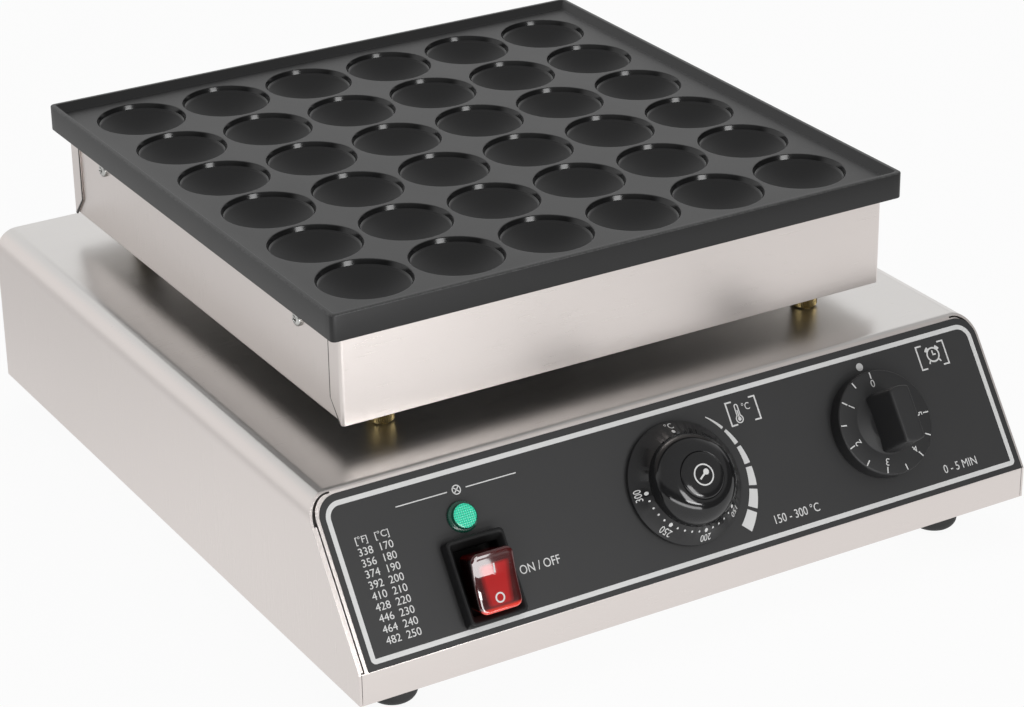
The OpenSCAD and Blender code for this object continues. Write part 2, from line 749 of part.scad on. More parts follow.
// A brass post with straight knurling and a chamfer at each end
module knurled_posts() color(brass) placed() four(post_x, post_y) translate([0, 0, base_top_z]) {
    tip = post_d / 2;
    root = tip - knurl_depth;
    difference() {
        intersection() {
            linear_extrude(post_h) polygon([
                for (i = [0:2 * knurl_teeth - 1]) let (a = i * 180 / knurl_teeth)
                    (i % 2 == 0 ? tip : root) * [cos(a), sin(a)]
            ]);
            rotate_extrude() polygon([
                [0, 0],
                [tip - post_chamfer, 0],
                [tip + nick, post_chamfer + nick],
                [tip + nick, post_h - post_chamfer - nick],
                [tip - post_chamfer, post_h],
                [0, post_h]
            ]);
        }
        translate([0, 0, -nick]) cylinder(h = post_h + 2 * nick, d = bolt_d + 2 * hole_fit);
    }
}

module post_bolts() color(zinc) placed() four(post_x, post_y) translate([0, 0, mat_z]) {
    cylinder(h = bolt_d * head_rise, d = bolt_d * nut_ratio, $fn = 6);
    translate([0, 0, -box_t - post_h - base_t - bolt_tail])
        cylinder(h = box_t + post_h + base_t + bolt_tail, d = bolt_d);
}

module post_nuts() color(zinc) placed() four(post_x, post_y)
    translate([0, 0, base_top_z - base_t - bolt_d * nut_rise]) hex_nut(bolt_d);

// The base seen from the side, drawn in by a sheet's depth, with both ends of the panel bent round
module base_side(depth) {
    top_r = panel_bend_r - depth;
    foot_r = lip_bend_r - depth;
    top_run = top_r * tan(panel_tilt / 2);
    foot_run = foot_r * tan(45 - panel_tilt / 2);
    up = [cos(panel_tilt), sin(panel_tilt)];
    foot = [base_front + depth, lip_top_z - depth * tan(45 - panel_tilt / 2)];
    crest = [base_front + panel_lean + depth * tan(panel_tilt / 2), base_top_z - depth];
    polygon([
        [base_back, base_z - nick],
        [base_back, crest[1]],
        crest + [top_run, 0],
        crest - top_run * up,
        foot + foot_run * up,
        foot - [0, foot_run],
        [foot[0], base_z - nick]
    ]);
    translate(crest + [top_run, -top_r]) circle(top_r);
    translate(foot + [foot_r, -foot_run]) circle(foot_r);
}

// The panel's sheet seen from the side, with the upright lip under it
module panel_side() intersection() {
    difference() {
        base_side(0);
        base_side(base_t);
    }
    translate([base_front - nick, base_z]) square([panel_lean + 2 * panel_bend_r + nick, base_h + nick]);
}

// The panel seen from the front: clear of the side walls, and joined to the top between its corners
module panel_front() {
    arch(2 * panel_half_w, base_h - base_t - seam, panel_corner_r);
    join_w = base_w - 2 * base_bend_r - 4 * seam;
    translate([-join_w / 2, 0]) square([join_w, base_h]);
    translate([-lip_half_w, 0]) square([2 * lip_half_w, front_lip_h]);
}

// The holes that the controls need through the panel
module panel_holes(depth) {
    on_panel(thermostat_x, knob_v) {
        translate([0, 0, -depth]) cylinder(h = 2 * depth, r = bush_r + hole_fit);
        for (x = [-1, 1]) translate([x * thermostat_screws / 2, 0, -depth])
            cylinder(h = 2 * depth, d = screw_d + 2 * hole_fit);
    }
    on_panel(timer_x, knob_v) {
        translate([0, 0, -depth]) cylinder(h = 2 * depth, r = bush_r + hole_fit);
        for (x = [-1, 1]) translate([x * timer_screws / 2, 0, -depth])
            cylinder(h = 2 * depth, d = screw_d + 2 * hole_fit);
    }
    on_panel(switch_x, switch_v)
        cube([body_w + 2 * cutout_gap, body_l + 2 * cutout_gap, 2 * depth], center = true);
    on_panel(switch_x, lamp_v) translate([0, 0, -depth]) cylinder(h = 2 * depth, d = lamp_body_d + 2 * hole_fit);
}

// Top, sides and control panel of the base, bent from one sheet
module base_shell() color(steel) placed() difference() {
    union() {
        intersection() {
            translate([0, 0, base_z]) along_y(base_front - nick, base_back) difference() {
                arch(base_w, base_h, base_bend_r);
                translate([0, -nick]) arch(inner_w, base_h - base_t + nick, base_bend_r - base_t);
            }
            along_x(2 * base_w) base_side(0);
        }
        intersection() {
            translate([0, 0, base_z]) along_y(base_front - nick, base_back) panel_front();
            along_x(2 * base_w) panel_side();
        }
        return_top_z = base_top_z - base_bend_r - seam;
        for (x = [-1, 1]) {
            // Returned edge of the side wall along the slope
            intersection() {
                along_x(2 * base_w) panel_side();
                translate([x * (base_w / 2 - return_w / 2 - base_t / 4), 0, 0])
                    block(
                        [-return_w / 2 + base_t / 4, base_front, lip_top_z + seam],
                        [return_w / 2 - base_t / 4, base_front + 2 * panel_lean, return_top_z]
                    );
            }
            // Side edge of the panel, folded back square to its face
            intersection() {
                on_panel(x * (panel_half_w - base_t / 2), 0)
                    block([-base_t / 2, 0, -panel_fold], [base_t / 2, panel_l - base_bend_r * 1.5, -base_t / 2]);
                along_x(2 * base_w) base_side(0);
            }
            // Flanges for the bottom and back sheets
            translate([x * (inner_w / 2 - flange_w / 2), 0, base_z])
                block(
                    [-flange_w / 2, base_front + 2 * flange_w, 0],
                    [flange_w / 2, base_back - 2 * flange_w, base_t]
                );
            translate([x * (inner_w / 2 - flange_w / 2), base_back - 2 * base_t, base_z])
                block([-flange_w / 2, 0, flange_w], [flange_w / 2, base_t, base_h - flange_w]);
        }
        block(
            [-panel_half_w + 2 * flange_w, base_front, base_z],
            [panel_half_w - 2 * flange_w, base_front + flange_w, base_z + base_t]
        );
    }
    panel_holes(6 * base_t);
    four(post_x, post_y) translate([0, 0, base_top_z - 2 * base_t])
        cylinder(h = 4 * base_t, d = bolt_d + 2 * hole_fit);
    translate([-conduit_left, 0, base_top_z - 2 * base_t]) cylinder(h = 4 * base_t, d = conduit_d + 2 * hole_fit);
    at_bottom_screws() cylinder(h = 6 * base_t, d = screw_d + 2 * hole_fit, center = true);
    at_back_screws() cylinder(h = 10 * base_t, d = screw_d + 2 * hole_fit, center = true);
}

// The dark film on the panel's face
module panel_overlay() color([0.13, 0.13, 0.13]) placed() difference() {
    left = -panel_half_w + overlay_bare_left;
    right = panel_half_w + overlay_lap;
    top = panel_l - overlay_bare_top;
    on_panel((left + right) / 2, overlay_bare_foot)
        linear_extrude(overlay_t) arch(right - left, top - overlay_bare_foot, overlay_r);
    panel_holes(6 * base_t);
}

// The screws that hold the bottom sheet, heads down
module at_bottom_screws() {
    for (x = [-1, 1], y = [base_front + 5 * flange_w, base_back - 3 * flange_w])
        translate([x * (inner_w / 2 - flange_w / 2), y, base_z]) children();
    for (x = [-base_w / 4, base_w / 4])
        translate([x, base_front + base_t + (flange_w - base_t) / 2, base_z]) children();
}

// The screws that hold the back sheet, heads out
module at_back_screws()
    for (x = [-1, 1], z = [base_z + 2 * flange_w, base_top_z - 2 * flange_w])
        translate([x * (inner_w / 2 - flange_w / 2), base_back, z]) rotate([-90, 0, 0]) children();

module back_sheet() color(steel) placed() difference() {
    sheet_w = inner_w - 2 * sheet_gap;
    sheet_h = base_h - base_t - sheet_gap;
    translate([0, 0, base_z]) along_y(base_back - base_t, base_back)
        arch(sheet_w, sheet_h, base_bend_r - base_t - sheet_gap);
    for (i = [0:vent_count - 1])
        translate([(i - (vent_count - 1) / 2) * vent_pitch, 0, base_z + base_h / 2])
            along_y(base_back - 2 * base_t, base_back + base_t) round_square(vent_w, vent_l, vent_w / 2 - 0.01);
    translate([-gland_left, base_back - 2 * base_t, base_z + gland_up]) rotate([-90, 0, 0])
        cylinder(h = 4 * base_t, d = gland_thread_d + 2 * hole_fit);
    at_back_screws() cylinder(h = 10 * base_t, d = screw_d + 2 * hole_fit, center = true);
}

module back_screws() color(zinc) placed() at_back_screws() pan_screw(screw_d, 2 * base_t + screw_tail);

module bottom_sheet() color(steel) placed() difference() {
    bottom_half_w = inner_w / 2 - bottom_inset;
    block(
        [-bottom_half_w, base_front + base_t + bottom_inset, foot_h],
        [bottom_half_w, base_back - base_t - bottom_inset, base_z]
    );
    at_feet() translate([0, 0, foot_h - nick]) cylinder(h = base_t + 2 * nick, d = foot_stud_d + 2 * hole_fit);
    at_bottom_screws() cylinder(h = 6 * base_t, d = screw_d + 2 * hole_fit, center = true);
    for (x = [-1, 1], i = [0:vent_count - 1])
        translate([x * base_w / 4, (i - (vent_count - 1) / 2) * vent_pitch, foot_h - nick])
            linear_extrude(base_t + 2 * nick) round_square(vent_l, vent_w, vent_w / 2 - 0.01);
}

module bottom_screws() color(zinc) placed() at_bottom_screws() translate([0, 0, -base_t]) rotate([180, 0, 0])
    pan_screw(screw_d, 2 * base_t + screw_tail);

module rubber_feet() color(black) placed() at_feet() difference() {
    rotate_extrude() intersection() {
        union() {
            translate([0, foot_round]) square([foot_d / 2, foot_h - foot_round]);
            square([foot_d / 2 - foot_round, foot_h]);
            translate([foot_d / 2 - foot_round, foot_round]) circle(foot_round);
        }
        square([foot_d, foot_h]);
    }
    translate([0, 0, foot_h - foot_stud_depth]) cylinder(h = foot_h, d = foot_stud_d + 2 * thread_fit);
}

module foot_studs() color(zinc) placed() at_feet() translate([0, 0, foot_h - foot_stud_depth + rest_gap])
    cylinder(h = foot_stud_depth - rest_gap + base_t + foot_stud_d * nut_rise + 2, d = foot_stud_d);

module foot_nuts() color(zinc) placed() at_feet() translate([0, 0, base_z]) hex_nut(foot_stud_d);

// A hexagon gland with a domed cap, bored through for the supply cord
module cord_gland() color(black) placed()
    translate([-gland_left, base_back, base_z + gland_up]) rotate([-90, 0, 0]) difference() {
        union() {
            cylinder(h = gland_hex_l, d = gland_hex / cos(30), $fn = 6);
            translate([0, 0, -base_t - gland_tail])
                cylinder(h = base_t + gland_tail + gland_hex_l, d = gland_thread_d);
            translate([0, 0, gland_hex_l]) rotate_extrude() {
                square([gland_hex / 2 - 2, gland_cap_l]);
                square([gland_hex / 2, gland_cap_l - 2]);
                translate([gland_hex / 2 - 2, gland_cap_l - 2]) circle(2);
            }
        }
        translate([0, 0, -base_t - gland_tail - nick])
            cylinder(h = base_t + gland_tail + gland_out + 2 * nick, d = gland_bore);
    }

module gland_nut() color(black) placed()
    translate([-gland_left, base_back - base_t, base_z + gland_up]) rotate([90, 0, 0]) difference() {
        cylinder(h = 5, d = gland_hex / cos(30), $fn = 6);
        translate([0, 0, -nick]) cylinder(h = 5 + 2 * nick, d = gland_thread_d + 2 * thread_fit);
    }

// A row of wire clamps on the bottom sheet, near the gland
module terminal_block() color([0.85, 0.83, 0.76]) placed()
    translate([-gland_left, block_y, base_z]) difference() {
        union() {
            block([-block_w / 2, -block_d / 2, 0], [block_w / 2, block_d / 2, block_h * 0.6]);
            at_ways() block([-way_w / 2, -block_d / 2, 0], [way_w / 2, block_d / 2, block_h]);
        }
        at_ways() {
            for (y = [-1, 1]) translate([0, y * block_d / 4, block_h * 0.45])
                cylinder(h = block_h, d = way_screw_d + hole_fit);
            translate([0, 0, block_h * 0.3]) rotate([90, 0, 0])
                cylinder(h = 2 * block_d, d = way_bore, center = true);
        }
    }

module at_ways() for (i = [0:block_ways - 1])
    translate([(i - (block_ways - 1) / 2) * block_w / block_ways, 0, 0]) children();

module terminal_screws() color(brass) placed() translate([-gland_left, block_y, base_z]) at_ways()
    for (y = [-1, 1]) translate([0, y * block_d / 4, block_h * 0.45]) cylinder(h = block_h * 0.35, d = way_screw_d);

// Raised frame, body and rocker well of the power switch
module switch_housing() color(black) placed() on_panel(switch_x, switch_v) difference() {
    union() {
        translate([0, 0, overlay_t]) linear_extrude(frame_h - overlay_t - frame_chamfer)
            round_square(frame_w, frame_l, frame_chamfer);
        intersection() {
            translate([0, 0, overlay_t]) linear_extrude(frame_h - overlay_t)
                round_square(frame_w, frame_l, frame_chamfer);
            along_x(2 * frame_w) frame_slope(frame_l);
            rotate(90) along_x(2 * frame_l) frame_slope(frame_w);
        }
        translate([0, 0, -base_t - switch_depth]) linear_extrude(base_t + switch_depth + frame_h / 2)
            square([body_w, body_l], center = true);
    }
    translate([0, 0, -well_floor]) linear_extrude(well_floor + frame_h + nick)
        square([well_w, well_l], center = true);
    translate([0, 0, pivot_h]) rotate([0, 90, 0])
        cylinder(h = body_w, d = pivot_d + 2 * shaft_fit, center = true);
}

// The frame seen along one side: upright, with a chamfer at the top
module frame_slope(w) polygon([
    [-w / 2, 0],
    [w / 2, 0],
    [w / 2, frame_h - frame_chamfer],
    [w / 2 - frame_chamfer, frame_h],
    [-w / 2 + frame_chamfer, frame_h],
    [-w / 2, frame_h - frame_chamfer]
]);

// A rocker with a hollowed face, on two pivot pins, tilted with its lower end pressed in
module switch_rocker() color([0.75, 0.05, 0.05, 0.9]) placed() on_panel(switch_x, switch_v)
    translate([0, 0, pivot_h]) rotate([rocker_tilt, 0, 0]) {
        half = rocker_l / 2;
        face_r = (half * half + rocker_hollow * rocker_hollow) / (2 * rocker_hollow);
        intersection() {
            along_x(rocker_w) difference() {
                polygon([
                    [-half, rocker_end_h],
                    [-half + rocker_draft, rocker_end_h * 0.3],
                    [-half * 0.45, -rocker_drop],
                    [half * 0.45, -rocker_drop],
                    [half - rocker_draft, rocker_end_h * 0.3],
                    [half, rocker_end_h]
                ]);
                translate([0, rocker_end_h - rocker_hollow + face_r]) circle(face_r);
            }
            translate([0, 0, -nick - rocker_drop]) linear_extrude(2 * rocker_end_h + rocker_drop)
                round_square(rocker_w, rocker_l, rocker_corner_r);
        }
        rotate([0, 90, 0]) cylinder(h = body_w - rest_gap, d = pivot_d, center = true);
    }

module switch_terminals() color(brass) placed() on_panel(switch_x, switch_v)
    for (x = [-1, 1], y = [-1, 1]) translate([x * body_w / 4, y * body_l / 4, -base_t - switch_depth - terminal_l])
        block([-terminal_w / 2, -terminal_t / 2, 0], [terminal_w / 2, terminal_t / 2, terminal_l]);

module lamp_lens() color([0.10, 0.75, 0.50, 0.8]) placed() on_panel(switch_x, lamp_v) translate([0, 0, overlay_t])
    rotate_extrude() polygon([
        [0, 0],
        [lamp_d / 2, 0],
        [lamp_d / 2, lamp_ring - 0.5],
        [lamp_d / 2 - 0.5, lamp_ring],
        [lamp_front_d / 2 + 0.4, lamp_ring],
        [lamp_front_d / 2, lamp_h - overlay_t - 0.5],
        [lamp_front_d / 2 - 0.5, lamp_h - overlay_t],
        [0, lamp_h - overlay_t]
    ]);

module lamp_body() color(black) placed() on_panel(switch_x, lamp_v)
    translate([0, 0, -base_t - lamp_body_l]) cylinder(h = base_t + lamp_body_l + overlay_t, d = lamp_body_d);

module lamp_nut() color(black) placed() on_panel(switch_x, lamp_v)
    translate([0, 0, -base_t - lamp_nut_h]) difference() {
        cylinder(h = lamp_nut_h, d = lamp_body_d * 1.6, $fn = 6);
        translate([0, 0, -nick]) cylinder(h = lamp_nut_h + 2 * nick, d = lamp_body_d + 2 * thread_fit);
    }

// A control body behind the panel, with a bushed shaft hole and two threaded fixing holes
module control_body(w, l, d, screws) difference() {
    union() {
        translate([0, 0, -base_t - d]) linear_extrude(d) round_square(w, l, 3);
        translate([0, 0, -base_t - nick]) cylinder(h = base_t + nick + overlay_t, r = bush_r);
    }
    translate([0, 0, -base_t - shaft_depth]) cylinder(h = 2 * shaft_depth, d = shaft_d + 2 * shaft_fit);
    for (x = [-1, 1]) translate([x * screws / 2, 0, -base_t - 2 * screw_tail])
        cylinder(h = 3 * screw_tail, d = screw_d + 2 * thread_fit);
}

// A shaft with a flat on the part that carries the knob
module control_shaft() difference() {
    translate([0, 0, rest_gap - base_t - shaft_depth])
        cylinder(h = base_t + shaft_depth + shaft_reach - rest_gap, d = shaft_d);
    block([-shaft_d, shaft_d / 2 - shaft_flat, knob_floor + flat_start], [shaft_d, shaft_d, 2 * shaft_reach]);
}

// The hole in a knob that fits that shaft, closed above it
module shaft_socket() difference() {
    cylinder(h = shaft_reach + rest_gap, d = shaft_d + 2 * knob_fit);
    block(
        [-shaft_d, shaft_d / 2 - shaft_flat + knob_fit, knob_floor + flat_start + rest_gap],
        [shaft_d, shaft_d, 2 * shaft_reach]
    );
}

module fixing_pair(screws) for (x = [-1, 1]) translate([x * screws / 2, 0, overlay_t])
    pan_screw(screw_d, overlay_t + base_t + screw_tail);

module thermostat_body() color(zinc) placed() on_panel(thermostat_x, knob_v)
    control_body(thermostat_w, thermostat_l, thermostat_d, thermostat_screws);

module thermostat_screws_pair() color(zinc) placed() on_panel(thermostat_x, knob_v)
    fixing_pair(thermostat_screws);

module thermostat_shaft() color(zinc) placed() on_panel(thermostat_x, knob_v) control_shaft();

// A moulded knob: sloping skirt for the scale, domed crown, seat for a cap
module thermostat_knob() color(black) placed() on_panel(thermostat_x, knob_v) difference() {
    skirt_r = skirt_d / 2;
    crown_r = crown_d / 2;
    dome_x = crown_r - dome_r;
    translate([0, 0, knob_floor]) rotate_extrude() difference() {
        union() {
            polygon([
                [0, 0],
                [skirt_r - edge_break, 0],
                [skirt_r, edge_break],
                [skirt_r, skirt_rim],
                [crown_r, skirt_h],
                [0, skirt_h]
            ]);
            square([dome_x, crown_h]);
            intersection() {
                translate([dome_x, skirt_h]) circle(dome_r);
                square([skirt_r, crown_h]);
            }
        }
        translate([0, crown_h - cap_seat]) square([cap_d / 2 + knob_fit, cap_seat + nick]);
        intersection() {
            union() {
                polygon([
                    [0, -nick],
                    [skirt_r - knob_wall, -nick],
                    [skirt_r - knob_wall, 0],
                    [crown_r - knob_wall, skirt_h - knob_wall],
                    [0, skirt_h - knob_wall]
                ]);
                translate([dome_x, skirt_h]) circle(dome_r - knob_wall);
            }
            translate([bush_r + knob_wall, -nick]) square([skirt_r, crown_h - cap_seat - knob_wall + nick]);
        }
        translate([0, -nick]) square([bush_r + bush_gap, nick + bush_rise]);
    }
    shaft_socket();
}

// The push-in cap at the middle of the thermostat knob
module thermostat_cap() color(black) placed() on_panel(thermostat_x, knob_v)
    translate([0, 0, knob_floor + crown_h - cap_seat]) rotate_extrude() polygon([
        [0, 0],
        [cap_d / 2, 0],
        [cap_d / 2, cap_seat],
        [cap_d / 2 - cap_rise * 0.75, cap_seat + cap_rise * 0.7],
        [cap_d / 4, cap_seat + cap_rise],
        [0, cap_seat + cap_rise]
    ]);

module timer_body() color(zinc) placed() on_panel(timer_x, knob_v)
    control_body(timer_w, timer_l, timer_d, timer_screws);

module timer_screws_pair() color(zinc) placed() on_panel(timer_x, knob_v) fixing_pair(timer_screws);

module timer_shaft() color(zinc) placed() on_panel(timer_x, knob_v) control_shaft();

// A moulded knob: thick round dial, low hub and a tapering grip bar with round ends
module timer_knob() color(black) placed() on_panel(timer_x, knob_v) difference() {
    dial_r = dial_d / 2;
    translate([0, 0, knob_floor]) union() {
        rotate_extrude() difference() {
            union() {
                square([dial_r - dial_round, dial_h]);
                square([dial_r, dial_h - dial_round]);
                translate([dial_r - dial_round, dial_h - dial_round]) circle(dial_round);
                polygon([[0, dial_h], [hub_d / 2, dial_h], [hub_d / 2 - hub_h, dial_h + hub_h], [0, dial_h + hub_h]]);
            }
            translate([bush_r + knob_wall, -nick])
                square([dial_r - bush_r - 2 * knob_wall, dial_h - knob_wall + nick]);
            translate([0, -nick]) square([bush_r + bush_gap, nick + bush_rise]);
        }
        intersection() {
            translate([0, 0, dial_h])
                cylinder(h = grip_h - overlay_t, r1 = grip_l / 2 + grip_flare, r2 = grip_l / 2);
            rotate([90, 0, 0]) linear_extrude(2 * dial_d, center = true) polygon([
                [-grip_w / 2 - grip_flare, dial_h],
                [grip_w / 2 + grip_flare, dial_h],
                [grip_w / 2, dial_h + grip_h],
                [-grip_w / 2, dial_h + grip_h]
            ]);
        }
    }
    shaft_socket();
}

cooking_plate();
plate_side_screws();
heater_tray();
heater_front_wall();
heater_back_wall();
insulation_mat();
heating_element();
element_pins();
clamp_bars();
clamp_studs();
clamp_nuts();
thermostat_bulb();
bulb_clip();
bulb_clip_screws();
capillary_tube();
wire_conduit();
conduit_nut();
knurled_posts();
post_bolts();
post_nuts();
base_shell();
panel_overlay();
back_sheet();
back_screws();
bottom_sheet();
bottom_screws();
rubber_feet();
foot_studs();
foot_nuts();
cord_gland();
gland_nut();
terminal_block();
terminal_screws();
switch_housing();
switch_rocker();
switch_terminals();
lamp_lens();
lamp_body();
lamp_nut();
thermostat_body();
thermostat_screws_pair();
thermostat_shaft();
thermostat_knob();
thermostat_cap();
timer_body();
timer_screws_pair();
timer_shaft();
timer_knob();
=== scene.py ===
"""Looks of a countertop grill for small round cakes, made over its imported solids."""

import json
import math

import bmesh
import bpy
import numpy as np
from bpy.props import FloatProperty, FloatVectorProperty, IntProperty, PointerProperty
from mathutils import Matrix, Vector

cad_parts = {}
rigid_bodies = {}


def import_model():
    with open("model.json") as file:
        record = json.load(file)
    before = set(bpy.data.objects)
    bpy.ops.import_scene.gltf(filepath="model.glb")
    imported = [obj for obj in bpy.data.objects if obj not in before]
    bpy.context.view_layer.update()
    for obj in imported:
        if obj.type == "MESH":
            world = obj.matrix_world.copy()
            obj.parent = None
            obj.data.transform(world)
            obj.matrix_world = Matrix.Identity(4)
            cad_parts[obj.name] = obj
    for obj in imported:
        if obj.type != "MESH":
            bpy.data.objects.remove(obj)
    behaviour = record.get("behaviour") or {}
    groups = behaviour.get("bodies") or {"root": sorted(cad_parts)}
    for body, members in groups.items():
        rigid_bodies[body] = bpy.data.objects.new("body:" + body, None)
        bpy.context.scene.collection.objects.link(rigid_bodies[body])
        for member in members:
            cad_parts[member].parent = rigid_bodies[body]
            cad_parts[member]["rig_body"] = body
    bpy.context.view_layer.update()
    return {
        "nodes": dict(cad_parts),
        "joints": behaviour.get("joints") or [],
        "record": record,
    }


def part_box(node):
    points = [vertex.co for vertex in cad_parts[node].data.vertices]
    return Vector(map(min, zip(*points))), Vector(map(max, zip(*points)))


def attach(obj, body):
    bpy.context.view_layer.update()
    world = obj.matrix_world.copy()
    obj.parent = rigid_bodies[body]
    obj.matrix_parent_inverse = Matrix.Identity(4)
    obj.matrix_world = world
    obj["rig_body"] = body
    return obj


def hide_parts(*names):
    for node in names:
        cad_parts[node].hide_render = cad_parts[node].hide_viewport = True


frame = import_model()

bl_info = {
    "name": "Cake grill looks",
    "version": (1, 0, 0),
    "blender": (4, 5, 0),
    "location": "3D View > Sidebar > Cake grill",
    "description": "Surfaces, finishes, print and studio for a countertop grill with dished cups",
    "category": "Object",
}

MM = 0.001
JOINTS = {joint["name"]: joint for joint in frame["joints"]}
SLOTS = {part["node"]: part["material_slot"] for part in frame["record"]["subparts"]}
PLATE_LOW, PLATE_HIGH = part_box("cooking_plate")
PLATE_MIDDLE = (PLATE_LOW + PLATE_HIGH) / 2

# The sloping panel: along it, up its slope and out of its face
ALONG = np.array([1.0, 0.0, 0.0])
OUT = np.array(JOINTS["thermostat_turn"]["axis"])
UP = np.cross(OUT, ALONG)
THERMOSTAT_AT = np.array(JOINTS["thermostat_turn"]["pos_m"])
TIMER_AT = np.array(JOINTS["timer_turn"]["pos_m"])
ROCKER_AT = np.array(JOINTS["rocker_tilt"]["pos_m"])
FINISHES = {}

# How far print reaches into what carries it
INK_SUNK = 0.02 * MM


def length(name, description, millimetres):
    """A size in the sidebar, given in millimetres and kept in metres."""
    return FloatProperty(name=name, description=description, default=millimetres * MM, unit="LENGTH",
                         precision=5)


def colour(name, description, shade):
    """A colour in the sidebar."""
    return FloatVectorProperty(name=name, description=description, default=shade, size=3, subtype="COLOR",
                               min=0.0, max=1.0)


class PlateSizes(bpy.types.PropertyGroup):
    """Sizes of the cast plate's surface."""

    cups: IntProperty(name="Cups", description="Cups along each side of the plate", default=6, min=1)
    pitch: length("Cup pitch", "Distance between cup centres", 49.7)
    rim: length("Cup rim", "Radius of a cup at its rim", 23.5)
    dish: length("Dish", "Radius of the dish under the steep wall", 22.6)
    wall: length("Cup wall", "Depth of the steep wall under the rim", 2.6)
    depth: length("Cup depth", "Full depth of a cup", 10.6)
    lip_height: length("Lip height", "Height of the lip above the flat top", 3.9)
    lip_width: length("Lip width", "Width of the lip along its top", 2.4)
    lip_run: length("Lip run", "Run of the lip's sloping inner face", 3.4)
    edge: length("Edge height", "Height of the plate's outside edge", 13.8)
    corner: length("Corner", "Radius of the plate's upright corners", 2.8)
    rib_depth: length("Rib depth", "Depth of the rib under the edge", 14.0)
    rib_width: length("Rib width", "Thickness of that rib", 8.0)
    slab: length("Slab depth", "Depth of the underside below the flat top", 14.2)
    boss_x: length("Boss width", "Width of the part of the plate inside the box", 303.0)
    boss_y: length("Boss depth", "Depth of the part of the plate inside the box", 305.0)


class PanelSizes(bpy.types.PropertyGroup):
    """Sizes of the print and the controls on the sloping panel."""

    knob_height: length("Knob height", "Height of both knobs up the panel", 41.2)
    film: length("Film", "Thickness of the printed film", 0.4)
    ink: length("Ink", "Thickness of the print", 0.08)
    knob_floor: length("Knob floor", "Height of the knobs' underside above the panel", 1.4)
    border_left: length("Border left", "Left end of the border's middle line", -181.7)
    border_right: length("Border right", "Right end of the border's middle line", 184.9)
    border_foot: length("Border foot", "Height of the border's lower line", 3.9)
    border_top: length("Border top", "Height of the border's upper line", 77.7)
    border_width: length("Border width", "Width of the border's line", 2.35)
    border_corner: length("Border corner", "Radius of the border's upper corners", 7.0)
    lamp_height: length("Lamp height", "Height of the lamp up the panel", 55.6)
    pivot_height: length("Pivot height", "Height of the rocker's pivot above the panel", 3.5)
    rocker_width: length("Rocker width", "Width of the rocker", 22.6)
    rocker_length: length("Rocker length", "Length of the rocker", 28.6)
    rocker_end: length("Rocker end", "Height of the rocker's ends above its pivot", 13.0)
    rocker_hollow: length("Rocker hollow", "Hollow of the rocker's face in the middle", 1.3)
    rocker_lean: FloatProperty(name="Rocker lean", description="Tilt of the rocker in the photographed rest",
                               default=math.radians(15), subtype="ANGLE")


class Colours(bpy.types.PropertyGroup):
    """Colours of the finishes."""

    coating: colour("Coating", "Non-stick coating of the plate", (0.0080, 0.0080, 0.0083))
    coating_worn: colour("Worn coating", "Coating along its rubbed edges", (0.060, 0.060, 0.060))
    steel: colour("Steel", "Stainless sheet", (0.70, 0.648, 0.622))
    # Painted reflection tint: level steel faces take this more neutral colour for what they reflect
    steel_flat: colour("Steel, level", "Stainless sheet where it lies level", (0.68, 0.662, 0.645))
    brass: colour("Brass", "Turned brass", (0.30, 0.235, 0.11))
    film: colour("Film", "Printed film on the panel", (0.029, 0.029, 0.0295))
    ink: colour("Ink", "Print on the panel and knobs", (0.58, 0.58, 0.575))
    knob: colour("Knob", "Moulded knobs", (0.010, 0.010, 0.0105))
    rocker: colour("Rocker", "Lit middle of the red rocker", (0.40, 0.003, 0.003))
    rocker_dark: colour("Rocker, dark", "Deep sides of the red rocker", (0.028, 0.0008, 0.001))
    # Painted glow: the rocker is no lamp, yet its lower edge emits this colour
    rocker_glow: colour("Rocker, lower edge", "Lit lower edge of the red rocker", (0.60, 0.035, 0.02))
    lamp: colour("Lamp", "Front of the green lamp", (0.008, 0.60, 0.36))
    lamp_dark: colour("Lamp, dark", "Ring of the green lamp", (0.002, 0.045, 0.028))


class StageSizes(bpy.types.PropertyGroup):
    """The camera and the studio."""

    lens: FloatProperty(name="Lens", description="Focal length in millimetres", default=107.888, min=1.0)
    azimuth: FloatProperty(name="Azimuth", description="Turn of the view about the plate",
                           default=math.radians(-30.458), subtype="ANGLE")
    elevation: FloatProperty(name="Elevation", description="Height of the view above the horizon",
                             default=math.radians(25.224), subtype="ANGLE")
    roll: FloatProperty(name="Roll", description="Roll of the camera",
                        default=math.radians(-0.875), subtype="ANGLE")
    distance: length("Distance", "Distance of the camera from the plate's middle", 1585.1)
    aside: length("Aside", "Shift of the camera to its right", 25.775)
    rise: length("Rise", "Shift of the camera upwards", -108.116)
    floor: length("Floor", "Half the width of the floor", 9000.0)


# Arrays of points and faces

def grid_faces(rows, columns, wrap_rows=False):
    """Quads between neighbours on a grid: each row closes into a ring, and the rows do where asked."""
    i = np.arange(rows if wrap_rows else rows - 1)[:, None]
    j = np.arange(columns)[None, :]
    below = i * columns
    above = (i + 1) % rows * columns
    after = (j + 1) % columns
    return np.stack([below + j, below + after, above + after, above + j], axis=-1).reshape(-1, 4)


def loft(rings, start=True, end=True):
    """Rings joined in order; a closed end is a fan from the ring's middle."""
    rows, columns = rings.shape[:2]
    j = np.arange(columns)
    after = (j + 1) % columns
    top = (rows - 1) * columns
    points = rings.reshape(-1, 3)
    faces = grid_faces(rows, columns).tolist()
    if start:
        faces += np.stack([np.full(columns, len(points)), after, j], axis=-1).tolist()
        points = np.concatenate([points, rings[:1].mean(axis=1)])
    if end:
        faces += np.stack([np.full(columns, len(points)), top + j, top + after], axis=-1).tolist()
        points = np.concatenate([points, rings[-1:].mean(axis=1)])
    return points, faces


